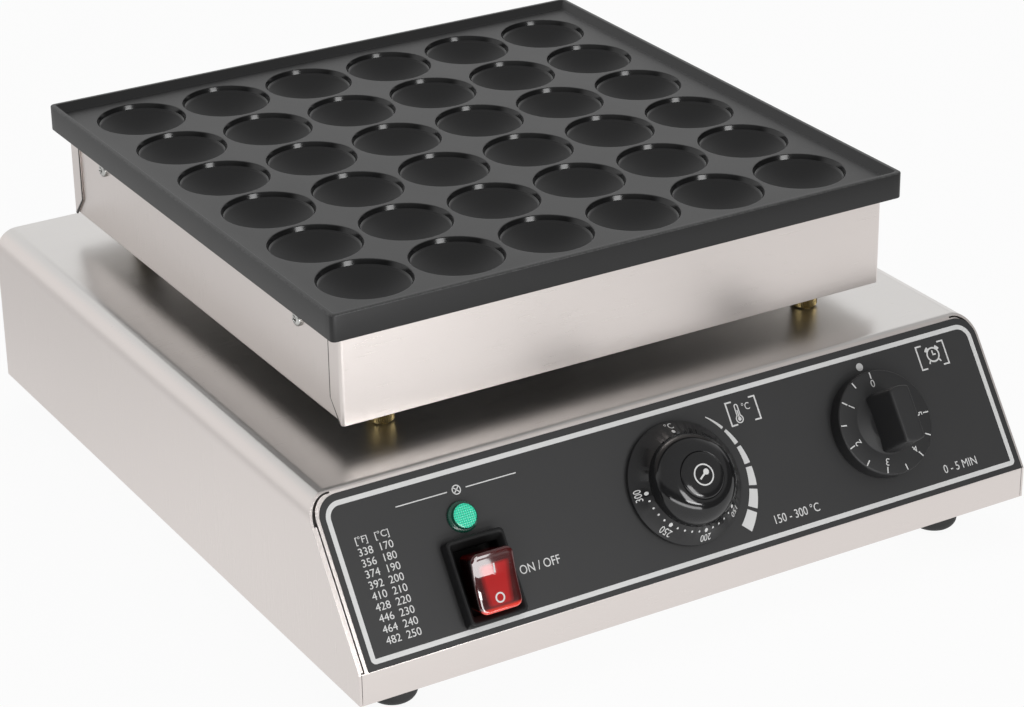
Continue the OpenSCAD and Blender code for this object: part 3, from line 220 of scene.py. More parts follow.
def eased(corners, radii, steps=6):
    """A polyline whose inner corners become arcs: each arc leaves its first leg at radius times the
    tangent of half the turn before the corner, and bends towards the second leg."""
    corners = np.asarray(corners, float)
    line = [corners[:1]]
    for before, corner, after, radius in zip(corners, corners[1:], corners[2:], radii):
        into = (corner - before) / np.linalg.norm(corner - before)
        away = (after - corner) / np.linalg.norm(after - corner)
        turn = math.atan2(into[0] * away[1] - into[1] * away[0], into @ away)
        side = np.array([-into[1], into[0]]) * np.sign(turn)
        t = np.linspace(0.0, abs(turn), steps)[:, None]
        begin = corner - into * radius * math.tan(abs(turn) / 2)
        line.append(begin + radius * (np.sin(t) * into + (1 - np.cos(t)) * side))
    line.append(corners[-1:])
    return np.concatenate(line)


def revolve(profile, segments):
    """Rings of radius and height from a profile, turned about the z axis."""
    turn = np.linspace(0.0, 2 * np.pi, segments, endpoint=False)
    radius = profile[:, :1]
    height = np.broadcast_to(profile[:, 1:], (len(profile), segments))
    return np.stack([radius * np.cos(turn), radius * np.sin(turn), height], axis=-1)


def rounded_rings(half_x, half_y, corner, height, side, steps=6):
    """Rings round rectangles with quarter-circle corners; side holds places from -1 to 1 along a side."""
    half_x, half_y, corner, height = [np.asarray(a, float)[:, None] for a in (half_x, half_y, corner, height)]
    flat_x = half_x - corner
    flat_y = half_y - corner
    side = np.asarray(side, float)[None, :]
    bend = np.linspace(0.0, np.pi / 2, steps + 2)[None, 1:-1]
    cos, sin = corner * np.cos(bend), corner * np.sin(bend)
    still = np.ones_like(side)
    x = np.concatenate([half_x * still, flat_x + cos, -flat_x * side, -flat_x - sin,
                        -half_x * still, -flat_x - cos, flat_x * side, flat_x + sin], axis=1)
    y = np.concatenate([flat_y * side, flat_y + sin, half_y * still, flat_y + cos,
                        -flat_y * side, -flat_y - sin, -half_y * still, -flat_y - cos], axis=1)
    return np.stack([x, y, np.broadcast_to(height, x.shape)], axis=-1)


def joined(parts):
    """Several parts as one list of points and faces."""
    points, faces, count = [], [], 0
    for part_points, part_faces in parts:
        points.append(part_points)
        faces += [[index + count for index in face] for face in part_faces]
        count += len(part_points)
    return np.concatenate(points), faces


# Flat print, drawn in millimetres and from height nought to one

def ribbon(path, width, closed=False):
    """A flat bar along a path: each station is a rectangle across the path, mitred at its corners."""
    path = np.asarray(path, float)
    leg = np.roll(path, -1, axis=0) - path
    leg /= np.maximum(np.linalg.norm(leg, axis=1, keepdims=True), 1e-12)
    into = np.roll(leg, 1, axis=0)
    if not closed:
        into[0] = leg[0]
        leg[-1] = into[-1]
    left = np.stack([-(leg + into)[:, 1], (leg + into)[:, 0]], axis=-1)
    left /= np.linalg.norm(left, axis=1, keepdims=True)
    square = np.stack([-leg[:, 1], leg[:, 0]], axis=-1)
    reach = (np.asarray(width, float) / 2 * np.ones(len(path)) / np.sum(left * square, axis=1))[:, None]
    right_edge = path - left * reach
    left_edge = path + left * reach
    corners = ((right_edge, 0.0), (left_edge, 0.0), (left_edge, 1.0), (right_edge, 1.0))
    rings = np.stack([np.insert(edge, 2, height, axis=1) for edge, height in corners], axis=1)
    if closed:
        return rings.reshape(-1, 3), grid_faces(len(path), len(corners), wrap_rows=True).tolist()
    return loft(rings)


def disc(middle, radius):
    """A low round button about a point."""
    points, faces = loft(revolve(np.array([[radius, 0.0], [radius, 1.0]]), 32))
    return points + np.array([middle[0], middle[1], 0.0]), faces


def arc(middle, radius, start, end, steps):
    """Points on a circle between two angles in degrees."""
    turn = np.radians(np.linspace(start, end, steps))[:, None]
    return np.asarray(middle, float) + radius * np.concatenate([np.cos(turn), np.sin(turn)], axis=1)


def on_circle(radius, turn):
    """The point at an angle in radians on a circle about the origin."""
    return radius * math.cos(turn), radius * math.sin(turn)


def lettering(text, height, squeeze=0.86):
    """A line of text about the origin as a solid mesh, its letters narrowed by a factor."""
    capital_share = 0.72
    data = bpy.data.curves.new("lettering", "FONT")
    data.body = text
    data.size = height * MM / capital_share
    data.align_x = "CENTER"
    data.align_y = "CENTER"
    data.resolution_u = 4
    data.extrude = 0.5
    holder = bpy.data.objects.new("lettering", data)
    bpy.context.scene.collection.objects.link(holder)
    bpy.context.view_layer.update()
    mesh = bpy.data.meshes.new_from_object(holder.evaluated_get(bpy.context.evaluated_depsgraph_get()))
    points = np.empty(len(mesh.vertices) * 3)
    mesh.vertices.foreach_get("co", points)
    faces = [list(polygon.vertices) for polygon in mesh.polygons]
    bpy.data.objects.remove(holder)
    bpy.data.curves.remove(data)
    bpy.data.meshes.remove(mesh)
    return points.reshape(-1, 3) * [squeeze / MM, 1.0 / MM, 1.0] + [0.0, 0.0, 0.5], faces


def moved(part, shift=(0.0, 0.0), turn=0.0):
    """A part turned about z, then moved along x and y."""
    points, faces = part
    cos, sin = math.cos(turn), math.sin(turn)
    spin = np.array([[cos, sin, 0.0], [-sin, cos, 0.0], [0.0, 0.0, 1.0]])
    return points @ spin + np.array([shift[0], shift[1], 0.0]), faces


def printed(parts, low, high):
    """Flat parts joined as one in metres, between two heights."""
    points, faces = joined(parts)
    return points * [MM, MM, high - low] + [0.0, 0.0, low], faces


# Places on the panel

def on_panel(points, at):
    """Local x, y and z laid along the panel, up its slope and out of its face, from a point on it."""
    return at + points[..., :1] * ALONG + points[..., 1:2] * UP + points[..., 2:3] * OUT


def panel_foot():
    """The point on the panel's face at its middle and its lower edge."""
    foot = THERMOSTAT_AT - bpy.context.scene.cake_panel.knob_height * UP
    foot[0] = 0.0
    return foot


def knob_surface(sizes, profile, segments):
    """A knob's profile of radius and height in millimetres, lifted to its place above the panel and
    turned about its axis."""
    profile = profile * MM
    profile[:, 1] += sizes.knob_floor
    return loft(revolve(profile, segments))


# Pieces

def clean_mesh(mesh, sharp, join_flat=False):
    """Merges doubled points, then joins flat neighbours or drops faces that vanished, and shades smooth up
    to an angle."""
    work = bmesh.new()
    work.from_mesh(mesh)
    bmesh.ops.remove_doubles(work, verts=work.verts, dist=2e-6)
    if join_flat:
        bmesh.ops.dissolve_limit(work, angle_limit=math.radians(0.4), verts=work.verts, edges=work.edges)
    else:
        bmesh.ops.dissolve_degenerate(work, edges=work.edges, dist=1e-7)
    work.to_mesh(mesh)
    work.free()
    mesh.polygons.foreach_set("use_smooth", np.ones(len(mesh.polygons), bool))
    mesh.set_sharp_from_angle(angle=math.radians(sharp))
    mesh.update()


def place_piece(mesh, finish, body, stands_for):
    """A mesh as an object of the same name, with its finish, its body and what it stands for."""
    mesh.materials.clear()
    mesh.materials.append(FINISHES[finish])
    piece = bpy.data.objects.new(mesh.name, mesh)
    bpy.context.scene.collection.objects.link(piece)
    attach(piece, body)
    if stands_for:
        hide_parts(*stands_for)
    return piece


def make_piece(name, part, finish, body, stands_for=(), sharp=32.0, values=None, flat=None):
    """A piece from points and faces, with values per point as attributes and a flat map as UVs."""
    points, faces = part
    mesh = bpy.data.meshes.new(name)
    mesh.from_pydata(points.tolist(), [], faces)
    for key, value in (values or {}).items():
        layer = mesh.attributes.new(key, "FLOAT", "POINT")
        layer.data.foreach_set("value", value.astype(np.float32))
    if flat is not None:
        corner = np.empty(len(mesh.loops), np.int32)
        mesh.loops.foreach_get("vertex_index", corner)
        layer = mesh.uv_layers.new(name="flat")
        layer.uv.foreach_set("vector", flat[corner].astype(np.float32).ravel())
    clean_mesh(mesh, sharp)
    place_piece(mesh, finish, body, stands_for)


def sheet_copy(node, finish, sharp, bevel):
    """A merged copy of a CAD node with its flat faces joined and its sharp edges broken."""
    mesh = frame["nodes"][node].data.copy()
    mesh.name = node + "_skin"
    if "custom_normal" in mesh.attributes:
        mesh.attributes.remove(mesh.attributes["custom_normal"])
    clean_mesh(mesh, sharp, join_flat=True)
    piece = place_piece(mesh, finish, frame["nodes"][node]["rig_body"], (node,))
    if bevel:
        broken = piece.modifiers.new("Broken edges", "BEVEL")
        broken.width = bevel
        broken.segments = 2
        broken.limit_method = "ANGLE"
        broken.angle_limit = math.radians(40)


# Shader values and finishes

def plug(tree, entry, value):
    """Links a shader value to a socket, or sets the socket to a plain value."""
    if isinstance(value, Shade):
        tree.links.new(value.socket, entry)
    else:
        entry.default_value = value


def add_node(tree, kind, settings, sockets, output=0):
    """Any node: its settings are set first, then its sockets."""
    node = tree.nodes.new(kind)
    for key, value in settings.items():
        setattr(node, key, value)
    for key, value in sockets.items():
        plug(tree, node.inputs[key], value)
    return Shade(tree, node.outputs[output])


class Shade:
    """A shader value: Python's operators on it add Math nodes."""

    def __init__(self, tree, socket):
        self.tree = tree
        self.socket = socket

    def maths(self, operation, *values):
        """One Math node with the given operation."""
        return add_node(self.tree, "ShaderNodeMath", {"operation": operation}, dict(enumerate(values)))

    def __add__(self, other):
        return self.maths("ADD", self, other)

    __radd__ = __add__

    def __sub__(self, other):
        return self.maths("SUBTRACT", self, other)

    def __rsub__(self, other):
        return self.maths("SUBTRACT", other, self)

    def __mul__(self, other):
        return self.maths("MULTIPLY", self, other)

    __rmul__ = __mul__

    def __abs__(self):
        return self.maths("ABSOLUTE", self)

    def fraction(self):
        """What is left after whole numbers."""
        return self.maths("FRACT", self)

    def axes(self):
        """The three parts of a vector."""
        split = add_node(self.tree, "ShaderNodeSeparateXYZ", {}, {0: self}).socket.node
        return [Shade(self.tree, part) for part in split.outputs]

    def between(self, low, high):
        """Rises smoothly from nought at low to one at high."""
        return add_node(self.tree, "ShaderNodeMapRange", {"interpolation_type": "SMOOTHSTEP"},
                        {"Value": self, "From Min": low, "From Max": high})


class Finish:
    """A material under construction round one Principled shader."""

    def __init__(self, name, constants):
        self.material = bpy.data.materials.new(name)
        self.material.use_nodes = True
        self.tree = self.material.node_tree
        self.shader = self.tree.nodes["Principled BSDF"]
        self.set(constants)
        FINISHES[name] = self.material

    def set(self, sockets):
        """Values or links for the shader's own sockets."""
        for key, value in sockets.items():
            plug(self.tree, self.shader.inputs[key], value)

    def node(self, kind, settings, sockets, output=0):
        """A node of this material."""
        return add_node(self.tree, kind, settings, sockets, output)

    def mix(self, factor, first, second):
        """A colour between two others, by the node's sockets for colours."""
        first = first if isinstance(first, Shade) else (*first, 1.0)
        second = second if isinstance(second, Shade) else (*second, 1.0)
        first_colour, second_colour, mixed_colour = 6, 7, 2
        return self.node("ShaderNodeMix", {"data_type": "RGBA"},
                         {0: factor, first_colour: first, second_colour: second}, mixed_colour)

    def place(self):
        """Object coordinates."""
        return self.node("ShaderNodeTexCoord", {}, {}, "Object")

    def facing(self):
        """The three parts of the surface's normal."""
        return self.node("ShaderNodeNewGeometry", {}, {}, "Normal").axes()

    def noise(self, scale, detail, stretch=(1.0, 1.0, 1.0)):
        """Noise on Object coordinates, stretched along the axes."""
        place = self.node("ShaderNodeMapping", {"vector_type": "POINT"},
                          {"Vector": self.place(), "Scale": stretch})
        return self.node("ShaderNodeTexNoise", {}, {"Vector": place, "Scale": scale, "Detail": detail})

    def attribute(self, name):
        """A value kept on the piece's points."""
        return self.node("ShaderNodeAttribute", {"attribute_name": name}, {}, "Fac")

    def flat_map(self):
        """The two directions of the piece's own flat map, in metres."""
        place = self.node("ShaderNodeUVMap", {"uv_map": "flat"}, {})
        return place.axes()[:2]

    def bump(self, height, strength, distance):
        """Raises the surface's look by a height."""
        self.set({"Normal": self.node("ShaderNodeBump", {}, {
            "Strength": strength, "Distance": distance, "Height": height})})


def coated_cast(colours):
    """Satin non-stick coating: fine pimples, smooth on the cups' steep walls and rubbed along the edges."""
    finish = Finish("coated_cast", {"Specular IOR Level": 0.42})
    clouds = finish.noise(38.0, 4.0)
    pimples = finish.noise(1500.0, 2.0)
    hollow = finish.attribute("hollow")
    steep = finish.attribute("steep")
    worn = finish.attribute("worn")
    rubbed = worn * (finish.noise(900.0, 3.0).between(0.4, 0.6) * 0.5 + 0.5)
    deep = [1.18 * part for part in colours.coating]
    finish.set({
        "Base Color": finish.mix(rubbed, finish.mix(clouds, colours.coating, deep), colours.coating_worn),
        "Roughness": 0.32 + clouds * 0.05 + hollow * 0.17 - steep * 0.38 + pimples * 0.04,
    })
    finish.bump(pimples * (1.0 - hollow * 0.75) * (1.0 - steep * 0.8), 0.22, 0.08 * MM)


def flap_edges(finish):
    """A mask for a painted shadow line along the edges of the flaps that the heater box's end walls turn
    round its
    corners: on the flaps' own plane and no further from the edge than a line's width. Near its foot the edge
    slants away."""
    front_low, front_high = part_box("heater_front_wall")
    back_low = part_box("heater_back_wall")[0]
    middle, half = (front_high.y + back_low.y) / 2, (back_low.y - front_high.y) / 2
    slant_top, slant_rate = front_low.z + 11 * MM, 0.91
    x, y, z = finish.place().axes()
    slant = z.maths("MAXIMUM", slant_top - z, 0.0) * slant_rate
    from_edge = abs(y - middle) - half - slant
    off_plane = abs(abs(x) - front_high.x).between(0.2 * MM, 0.4 * MM)
    above_foot = z.between(front_low.z, front_low.z + 0.2 * MM)
    return (1.0 - off_plane) * above_foot * (1.0 - from_edge.between(0.8 * MM, 1.2 * MM))


def brushed_steel(colours):
    """Stainless sheet: fine grain along x on the flats and up the side walls, with faint clouds, a painted
    reflection tint on level faces, and a painted shadow line on the flaps that wrap the heater box's corners."""
    finish = Finish("brushed_steel", {"Metallic": 1.0})
    normal = finish.facing()
    sideways = abs(normal[0]).between(0.6, 0.8)
    level = abs(normal[2]).between(0.7, 0.95)
    along, across = 40.0, 3600.0
    lengthways = finish.noise(1.0, 4.0, (along, across, across))
    upright = finish.noise(1.0, 4.0, (across, across, along))
    grain = lengthways * (1.0 - sideways) + upright * sideways
    clouds = finish.noise(7.0, 3.0)
    # Painted reflection tint: level faces are mixed towards the more neutral steel colour
    sheet = finish.mix(level, colours.steel, colours.steel_flat)
    # Painted shadow: a dark line just inside the flaps' edges stands for the gap's shadow
    shadow = (0.05, 0.046, 0.044)
    finish.set({
        "Base Color": finish.mix(flap_edges(finish), sheet, shadow),
        "Roughness": 0.22 + grain * 0.12 + clouds * 0.04,
    })
    finish.bump(grain, 0.3, 0.12 * MM)


def plain_metal(name, shade, rough, speck):
    """A bare or plated metal with small uneven spots in its gloss."""
    finish = Finish(name, {"Metallic": 1.0})
    spots = finish.noise(speck, 4.0)
    dull = [0.72 * part for part in shade]
    finish.set({"Base Color": finish.mix(spots, dull, shade), "Roughness": rough + spots * 0.18})
    finish.bump(spots, 0.05, 0.05 * MM)


def moulded(name, shade, rough, speck, grain):
    """A moulded plastic or rubber: even colour, fine spark-eroded grain."""
    finish = Finish(name, {})
    spots = finish.noise(speck, 2.0)
    pale = [1.25 * part + 0.0006 for part in shade]
    finish.set({"Base Color": finish.mix(spots, shade, pale), "Roughness": rough + spots * 0.1})
    finish.bump(spots, grain, 0.06 * MM)


def knob_plastic(colours):
    """Black moulded knobs, glossy on the crown and satin where the print is."""
    finish = Finish("knob_plastic", {"Specular IOR Level": 0.44})
    satin = finish.attribute("satin")
    grain = finish.noise(2600.0, 2.0)
    pale = [1.6 * part for part in colours.knob]
    finish.set({
        "Base Color": finish.mix(grain * satin, colours.knob, pale),
        "Roughness": 0.1 + satin * (0.36 + grain * 0.1),
    })
    finish.bump(grain * satin, 0.12, 0.04 * MM)


def switch_plastic():
    """Black moulding of the switch frame, with painted shade that turns it dead black down in its well."""
    finish = Finish("switch_plastic", {"Specular IOR Level": 0.2})
    inside = finish.attribute("inside")
    grain = finish.noise(2200.0, 2.0)
    # Painted shade: the well's colour stands for the shade down inside it, mixed in by the inside mask
    moulding, well = (0.012, 0.012, 0.0125), (0.0006, 0.0006, 0.0006)
    finish.set({
        "Base Color": finish.mix(inside, moulding, well),
        "Roughness": 0.32 + grain * 0.1 + inside * 0.4,
    })
    finish.bump(grain, 0.12, 0.06 * MM)


def rocker_plastic(colours):
    """Red translucent rocker: a bright wedge in the middle, widening upwards, deep bands at the sides, a
    painted glow by emission, faint all over and strong on its lower edge, and painted shade on its side
    walls."""
    finish = Finish("rocker_plastic", {"Coat Weight": 1.0, "Coat Roughness": 0.03, "Coat IOR": 1.8,
                                       "Specular IOR Level": 0.1, "Emission Strength": 0.3})
    across, along = finish.flat_map()
    walls = abs(finish.facing()[0]).between(0.75, 0.95)
    wedge = 6.6 * MM + along * 0.08
    middle = 1.0 - (abs(across) - wedge).between(-2.2 * MM, 1.8 * MM)
    ends = 1.0 - abs(along + 1.5 * MM).between(8.5 * MM, 10.8 * MM)
    glow = middle * ends * 0.86 + finish.noise(160.0, 2.0) * 0.10
    # Painted glow: a mask for the lower edge, which emits light though the rocker is no lamp
    painted_edge_glow = (0.0 - along).between(11.2 * MM, 13.0 * MM) * (1.0 - walls)
    shade = finish.mix(glow, colours.rocker_dark, colours.rocker)
    shade = finish.mix(painted_edge_glow, shade, colours.rocker_glow)
    # Painted shade: faces turned sideways go near black
    shade = finish.mix(walls, shade, (0.004, 0.0006, 0.0006))
    # Painted glow: emission over the whole rocker, strongest on the lower edge
    lit = finish.mix(0.27 + painted_edge_glow * 0.73, (0.0, 0.0, 0.0), shade)
    finish.set({"Base Color": shade, "Emission Color": lit, "Roughness": 0.2 + glow * 0.1})


def lamp_plastic(colours):
    """Green translucent lamp with a front of small pyramids."""
    finish = Finish("lamp_plastic", {"Coat Weight": 0.6, "Coat Roughness": 0.06, "Emission Strength": 0.22})
    front = finish.attribute("front")
    across, along = finish.flat_map()
    per_metre = 900.0
    peaks = abs((across * per_metre).fraction() - 0.5) + abs((along * per_metre).fraction() - 0.5)
    shade = finish.mix(front * (0.25 + peaks * 1.1), colours.lamp_dark, colours.lamp)
    finish.set({"Base Color": shade, "Emission Color": shade, "Roughness": 0.22 + peaks * 0.12})
    finish.bump(peaks * front, 0.55, 0.3 * MM)


def film_print(name, shade, rough):
    """Screen-printed film or ink: matt, with a fine velvet grain."""
    finish = Finish(name, {"Specular IOR Level": 0.3})
    grain = finish.noise(3000.0, 2.0)
    clouds = finish.noise(24.0, 2.0)
    pale = [1.14 * part for part in shade]
    finish.set({"Base Color": finish.mix(clouds, shade, pale), "Roughness": rough + grain * 0.14})
    finish.bump(grain, 0.1, 0.03 * MM)


def wool(name):
    """Pressed mineral wool: tangled fibres in two pale tones."""
    finish = Finish(name, {"Roughness": 0.95})
    fibres = finish.noise(320.0, 6.0, (1.0, 1.0, 3.0))
    finish.set({"Base Color": finish.mix(fibres.between(0.35, 0.65), (0.52, 0.49, 0.38), (0.78, 0.76, 0.66))})
    finish.bump(fibres, 0.7, 0.6 * MM)


class CAKE_OT_finishes(bpy.types.Operator):
    """Makes the finishes and gives every CAD node the one for its slot"""

    bl_idname = "cake.finishes"
    bl_label = "Finishes"

    def execute(self, context):
        colours = context.scene.cake_colours
        coated_cast(colours)
        brushed_steel(colours)
        knob_plastic(colours)
        switch_plastic()
        rocker_plastic(colours)
        lamp_plastic(colours)
        film_print("overlay_film", colours.film, 0.4)
        film_print("light_ink", colours.ink, 0.45)
        plain_metal("zinc_plate", (0.62, 0.62, 0.60), 0.24, 260.0)
        plain_metal("turned_brass", colours.brass, 0.28, 380.0)
        plain_metal("drawn_copper", (0.66, 0.33, 0.20), 0.25, 300.0)
        plain_metal("dark_sheath", (0.13, 0.12, 0.115), 0.38, 500.0)
        moulded("foot_rubber", (0.012, 0.012, 0.012), 0.62, 1400.0, 0.2)
        moulded("fitting_plastic", (0.0045, 0.0045, 0.005), 0.3, 2200.0, 0.12)
        moulded("terminal_plastic", (0.62, 0.58, 0.46), 0.4, 900.0, 0.1)
        wool("mineral_wool")
        by_slot = {
            "cast_coating": "coated_cast", "stainless_sheet": "brushed_steel", "zinc_steel": "zinc_plate",
            "turned_brass": "turned_brass", "copper": "drawn_copper", "element_sheath": "dark_sheath",
            "mineral_wool": "mineral_wool", "foot_rubber": "foot_rubber", "knob_plastic": "knob_plastic",
            "fitting_plastic": "fitting_plastic", "terminal_plastic": "terminal_plastic",
            "rocker_red": "rocker_plastic", "lamp_green": "lamp_plastic", "overlay_film": "overlay_film",
        }
        for name, node in frame["nodes"].items():
            node.data.materials.clear()
            node.data.materials.append(FINISHES[by_slot[SLOTS[name]]])
        return {"FINISHED"}


class CAKE_OT_plate(bpy.types.Operator):
    """Makes the cast plate: a tile for each cup, the raised lip and the ribbed underside"""

    bl_idname = "cake.plate"
    bl_label = "Cooking plate"

    def centres(self, sizes):
        """Places of the cups along one side, about the plate's middle."""
        return (np.arange(sizes.cups) - (sizes.cups - 1) / 2) * sizes.pitch

    def cup_profile(self, sizes):
        """Radius and height from the land into a cup: rounded rim, steep wall, then a spherical dish
        whose height is the sphere's radius less its chord, down from the cup's depth."""
        land, inset = 0.9 * MM, 1.2 * MM
        rim_round, foot_round = 0.55 * MM, 0.8 * MM
        fall = sizes.depth - sizes.wall
        sphere = (sizes.dish ** 2 + fall ** 2) / (2 * fall)
        radius = np.linspace(sizes.dish - inset, inset, 13)
        height = sphere - np.sqrt(sphere ** 2 - radius ** 2) - sizes.depth
        dish = np.stack([radius, height], axis=-1)
        wall = eased([[sizes.rim + land, 0.0], [sizes.rim, 0.0], [sizes.dish, -sizes.wall], dish[0]],
                     [rim_round, foot_round])
        return np.concatenate([wall[:-1], dish])

    def tiles(self, sizes):
        """One square tile round each cup: rings from the tile's square edge to the cup's middle.
        Returns points, faces, the cup and wall values and the places along one tile's side."""
        profile = self.cup_profile(sizes)
        turn = np.linspace(0.0, 2 * np.pi, 64, endpoint=False)
        spoke = np.stack([np.cos(turn), np.sin(turn)], axis=-1)
        edge = spoke * (sizes.pitch / 2 / np.abs(spoke).max(axis=1))[:, None]
        plan = np.concatenate([edge[None], profile[:, :1, None] * spoke])
        height = np.concatenate([[0.0], profile[:, 1]])
        rings = np.concatenate([plan, np.broadcast_to(height[:, None, None], plan.shape[:2] + (1,))], axis=-1)
        points, faces = loft(rings, start=False)
        radius = np.linalg.norm(points[:, :2], axis=1)
        below_rim, wall_run = 0.2 * MM, 0.9 * MM
        hollow = np.where((points[:, 2] < -below_rim) & (radius < sizes.rim), 1.0, 0.0)
        steep = hollow * (radius > sizes.dish - wall_run)
        step = self.centres(sizes)
        middle = np.stack(np.meshgrid(step, step, [0.0]), axis=-1).reshape(-1, 1, 3)
        spread = (points[None] + middle).reshape(-1, 3)
        start = np.arange(len(middle)) * len(points)
        spread_faces = [[index + shift for index in face] for shift in start.tolist() for face in faces]
        side = np.sort(edge[np.isclose(edge[:, 0], sizes.pitch / 2), 1])
        return (spread, spread_faces), np.tile(hollow, len(middle)), np.tile(steep, len(middle)), side

    def border(self, sizes, side):
        """Rings from the slab's underside, round the rib, out to the edge, over the lip and in to the
        tiles, whose points along a side it shares. Returns points, faces and where the lip is worn."""
        half = sizes.cups * sizes.pitch / 2
        places = np.unique(np.round((self.centres(sizes)[:, None] + side) / half, 7))
        outer = (PLATE_HIGH.x - PLATE_LOW.x) / 2
        under = sizes.lip_height - sizes.edge
        foot = outer - sizes.lip_width - sizes.lip_run
        rim = eased([[outer - 4 * MM, under], [outer, under], [outer, sizes.lip_height],
                     [outer - sizes.lip_width, sizes.lip_height], [foot, 0.0], [half, 0.0]],
                    [0.6 * MM, 0.8 * MM, 0.5 * MM, 1.0 * MM])
        boss_x, boss_y = sizes.boss_x / 2, sizes.boss_y / 2
        rib_x, rib_y = boss_x - sizes.rib_width, boss_y - sizes.rib_width
        rib_foot = under - sizes.rib_depth
        half_x = np.concatenate([[rib_x, rib_x, boss_x, boss_x], rim[:, 0]])
        half_y = np.concatenate([[rib_y, rib_y, boss_y, boss_y], rim[:, 0]])
        height = np.concatenate([[-sizes.slab, rib_foot, rib_foot, under], rim[:, 1]])
        bend = np.clip(sizes.corner - (outer - half_x), 1.4 * MM, sizes.corner)
        bend[:2] = 0.0
        bend[-1] = 0.0
        points, faces = loft(rounded_rings(half_x, half_y, bend, height, places), end=False)
        crest = (half_x < outer - 0.01 * MM) & (half_x > outer - 0.75 * MM) & (height > 0.0)
        worn = np.repeat(np.where(crest, 1.0, 0.0), len(points) // len(half_x))
        return (points, faces), np.pad(worn, (0, len(points) - len(worn)))

    def execute(self, context):
        sizes = context.scene.cake_plate
        tiles, hollow, steep, side = self.tiles(sizes)
        border, worn = self.border(sizes, side)
        points, faces = joined([tiles, border])
        points += np.array([PLATE_MIDDLE.x, PLATE_MIDDLE.y, PLATE_HIGH.z - sizes.lip_height])
        rest = np.zeros(len(points) - len(hollow))
        make_piece("cooking_plate_skin", (points, faces), "coated_cast", "machine",
                   ("cooking_plate",), sharp=30.0, values={
                       "hollow": np.concatenate([hollow, rest]),
                       "steep": np.concatenate([steep, rest]),
                       "worn": np.concatenate([np.zeros(len(hollow)), worn]),
                   })
        return {"FINISHED"}


class CAKE_OT_sheets(bpy.types.Operator):
    """Breaks the edges of the folded sheets and the gland, and makes smooth copies of the bottom sheet and
    the feet
    """

    bl_idname = "cake.sheets"
    bl_label = "Sheet metal, feet and gland"

    def execute(self, context):
        for node in ("base_shell", "heater_front_wall", "heater_back_wall", "heater_tray", "back_sheet"):
            sheet_copy(node, "brushed_steel", 24.0, 0.22 * MM)
        sheet_copy("bottom_sheet", "brushed_steel", 24.0, 0.0)
        sheet_copy("rubber_feet", "foot_rubber", 40.0, 0.0)
        sheet_copy("cord_gland", "fitting_plastic", 24.0, 0.3 * MM)
        return {"FINISHED"}


class CAKE_OT_screws(bpy.types.Operator):
    """Makes the pan-head screws on the box sides and the back sheet"""

    bl_idname = "cake.screws"
    bl_label = "Pan-head screws"

    def head(self, radius, rise):
        """A domed head whose height drops along a cross: rings from the seat, up the rim and in to the
        middle, less a cross-shaped recess that fades at the ends of its arms."""
        middle = 0.2 * MM
        half_arm, arm_end, recess = 0.13 * radius, 0.5 * radius, 0.55 * rise
        crown = eased([[radius, -0.3 * MM], [radius, rise * 0.55], [radius * 0.55, rise], [middle, rise]],
                      [rise * 0.4, radius * 0.9], 5)
        inner = np.stack([np.linspace(arm_end, middle, 16), np.full(16, rise)], axis=-1)
        rings = revolve(np.concatenate([crown[:-2], inner]), 64)
        x, y = np.abs(rings[..., 0]), np.abs(rings[..., 1])
        arm = np.clip((half_arm - np.minimum(x, y)) / (0.05 * radius), 0.0, 1.0)
        reach = np.clip((arm_end - np.maximum(x, y)) / (0.12 * radius), 0.0, 1.0)
        rings[..., 2] -= arm * reach * recess * (rings[..., 2] > rise * 0.8)
        return loft(rings)

    def execute(self, context):
        radius, rise = 3.8 * MM, 2.4 * MM
        points, faces = self.head(radius, rise)
        across, along, out = points.T
        low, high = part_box("plate_side_screws")
        middle = (low.z + high.z) / 2
        parts = []
        for sign, seat in ((-1.0, low.x + rise), (1.0, high.x - rise)):
            turned = np.stack([sign * out, sign * across, along], axis=-1)
            for y in (low.y + radius, high.y - radius):
                parts.append((turned + [seat, y, middle], faces))
        make_piece("side_screw_heads", joined(parts), "zinc_plate", "machine",
                   ("plate_side_screws",), sharp=38.0)
        low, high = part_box("back_screws")
        turned = np.stack([-across, out, along], axis=-1)
        parts = []
        for x in (low.x + radius, high.x - radius):
            for z in (low.z + radius, high.z - radius):
                parts.append((turned + [x, high.y - rise, z], faces))
        make_piece("back_screw_heads", joined(parts), "zinc_plate", "machine",
                   ("back_screws",), sharp=38.0)
        return {"FINISHED"}


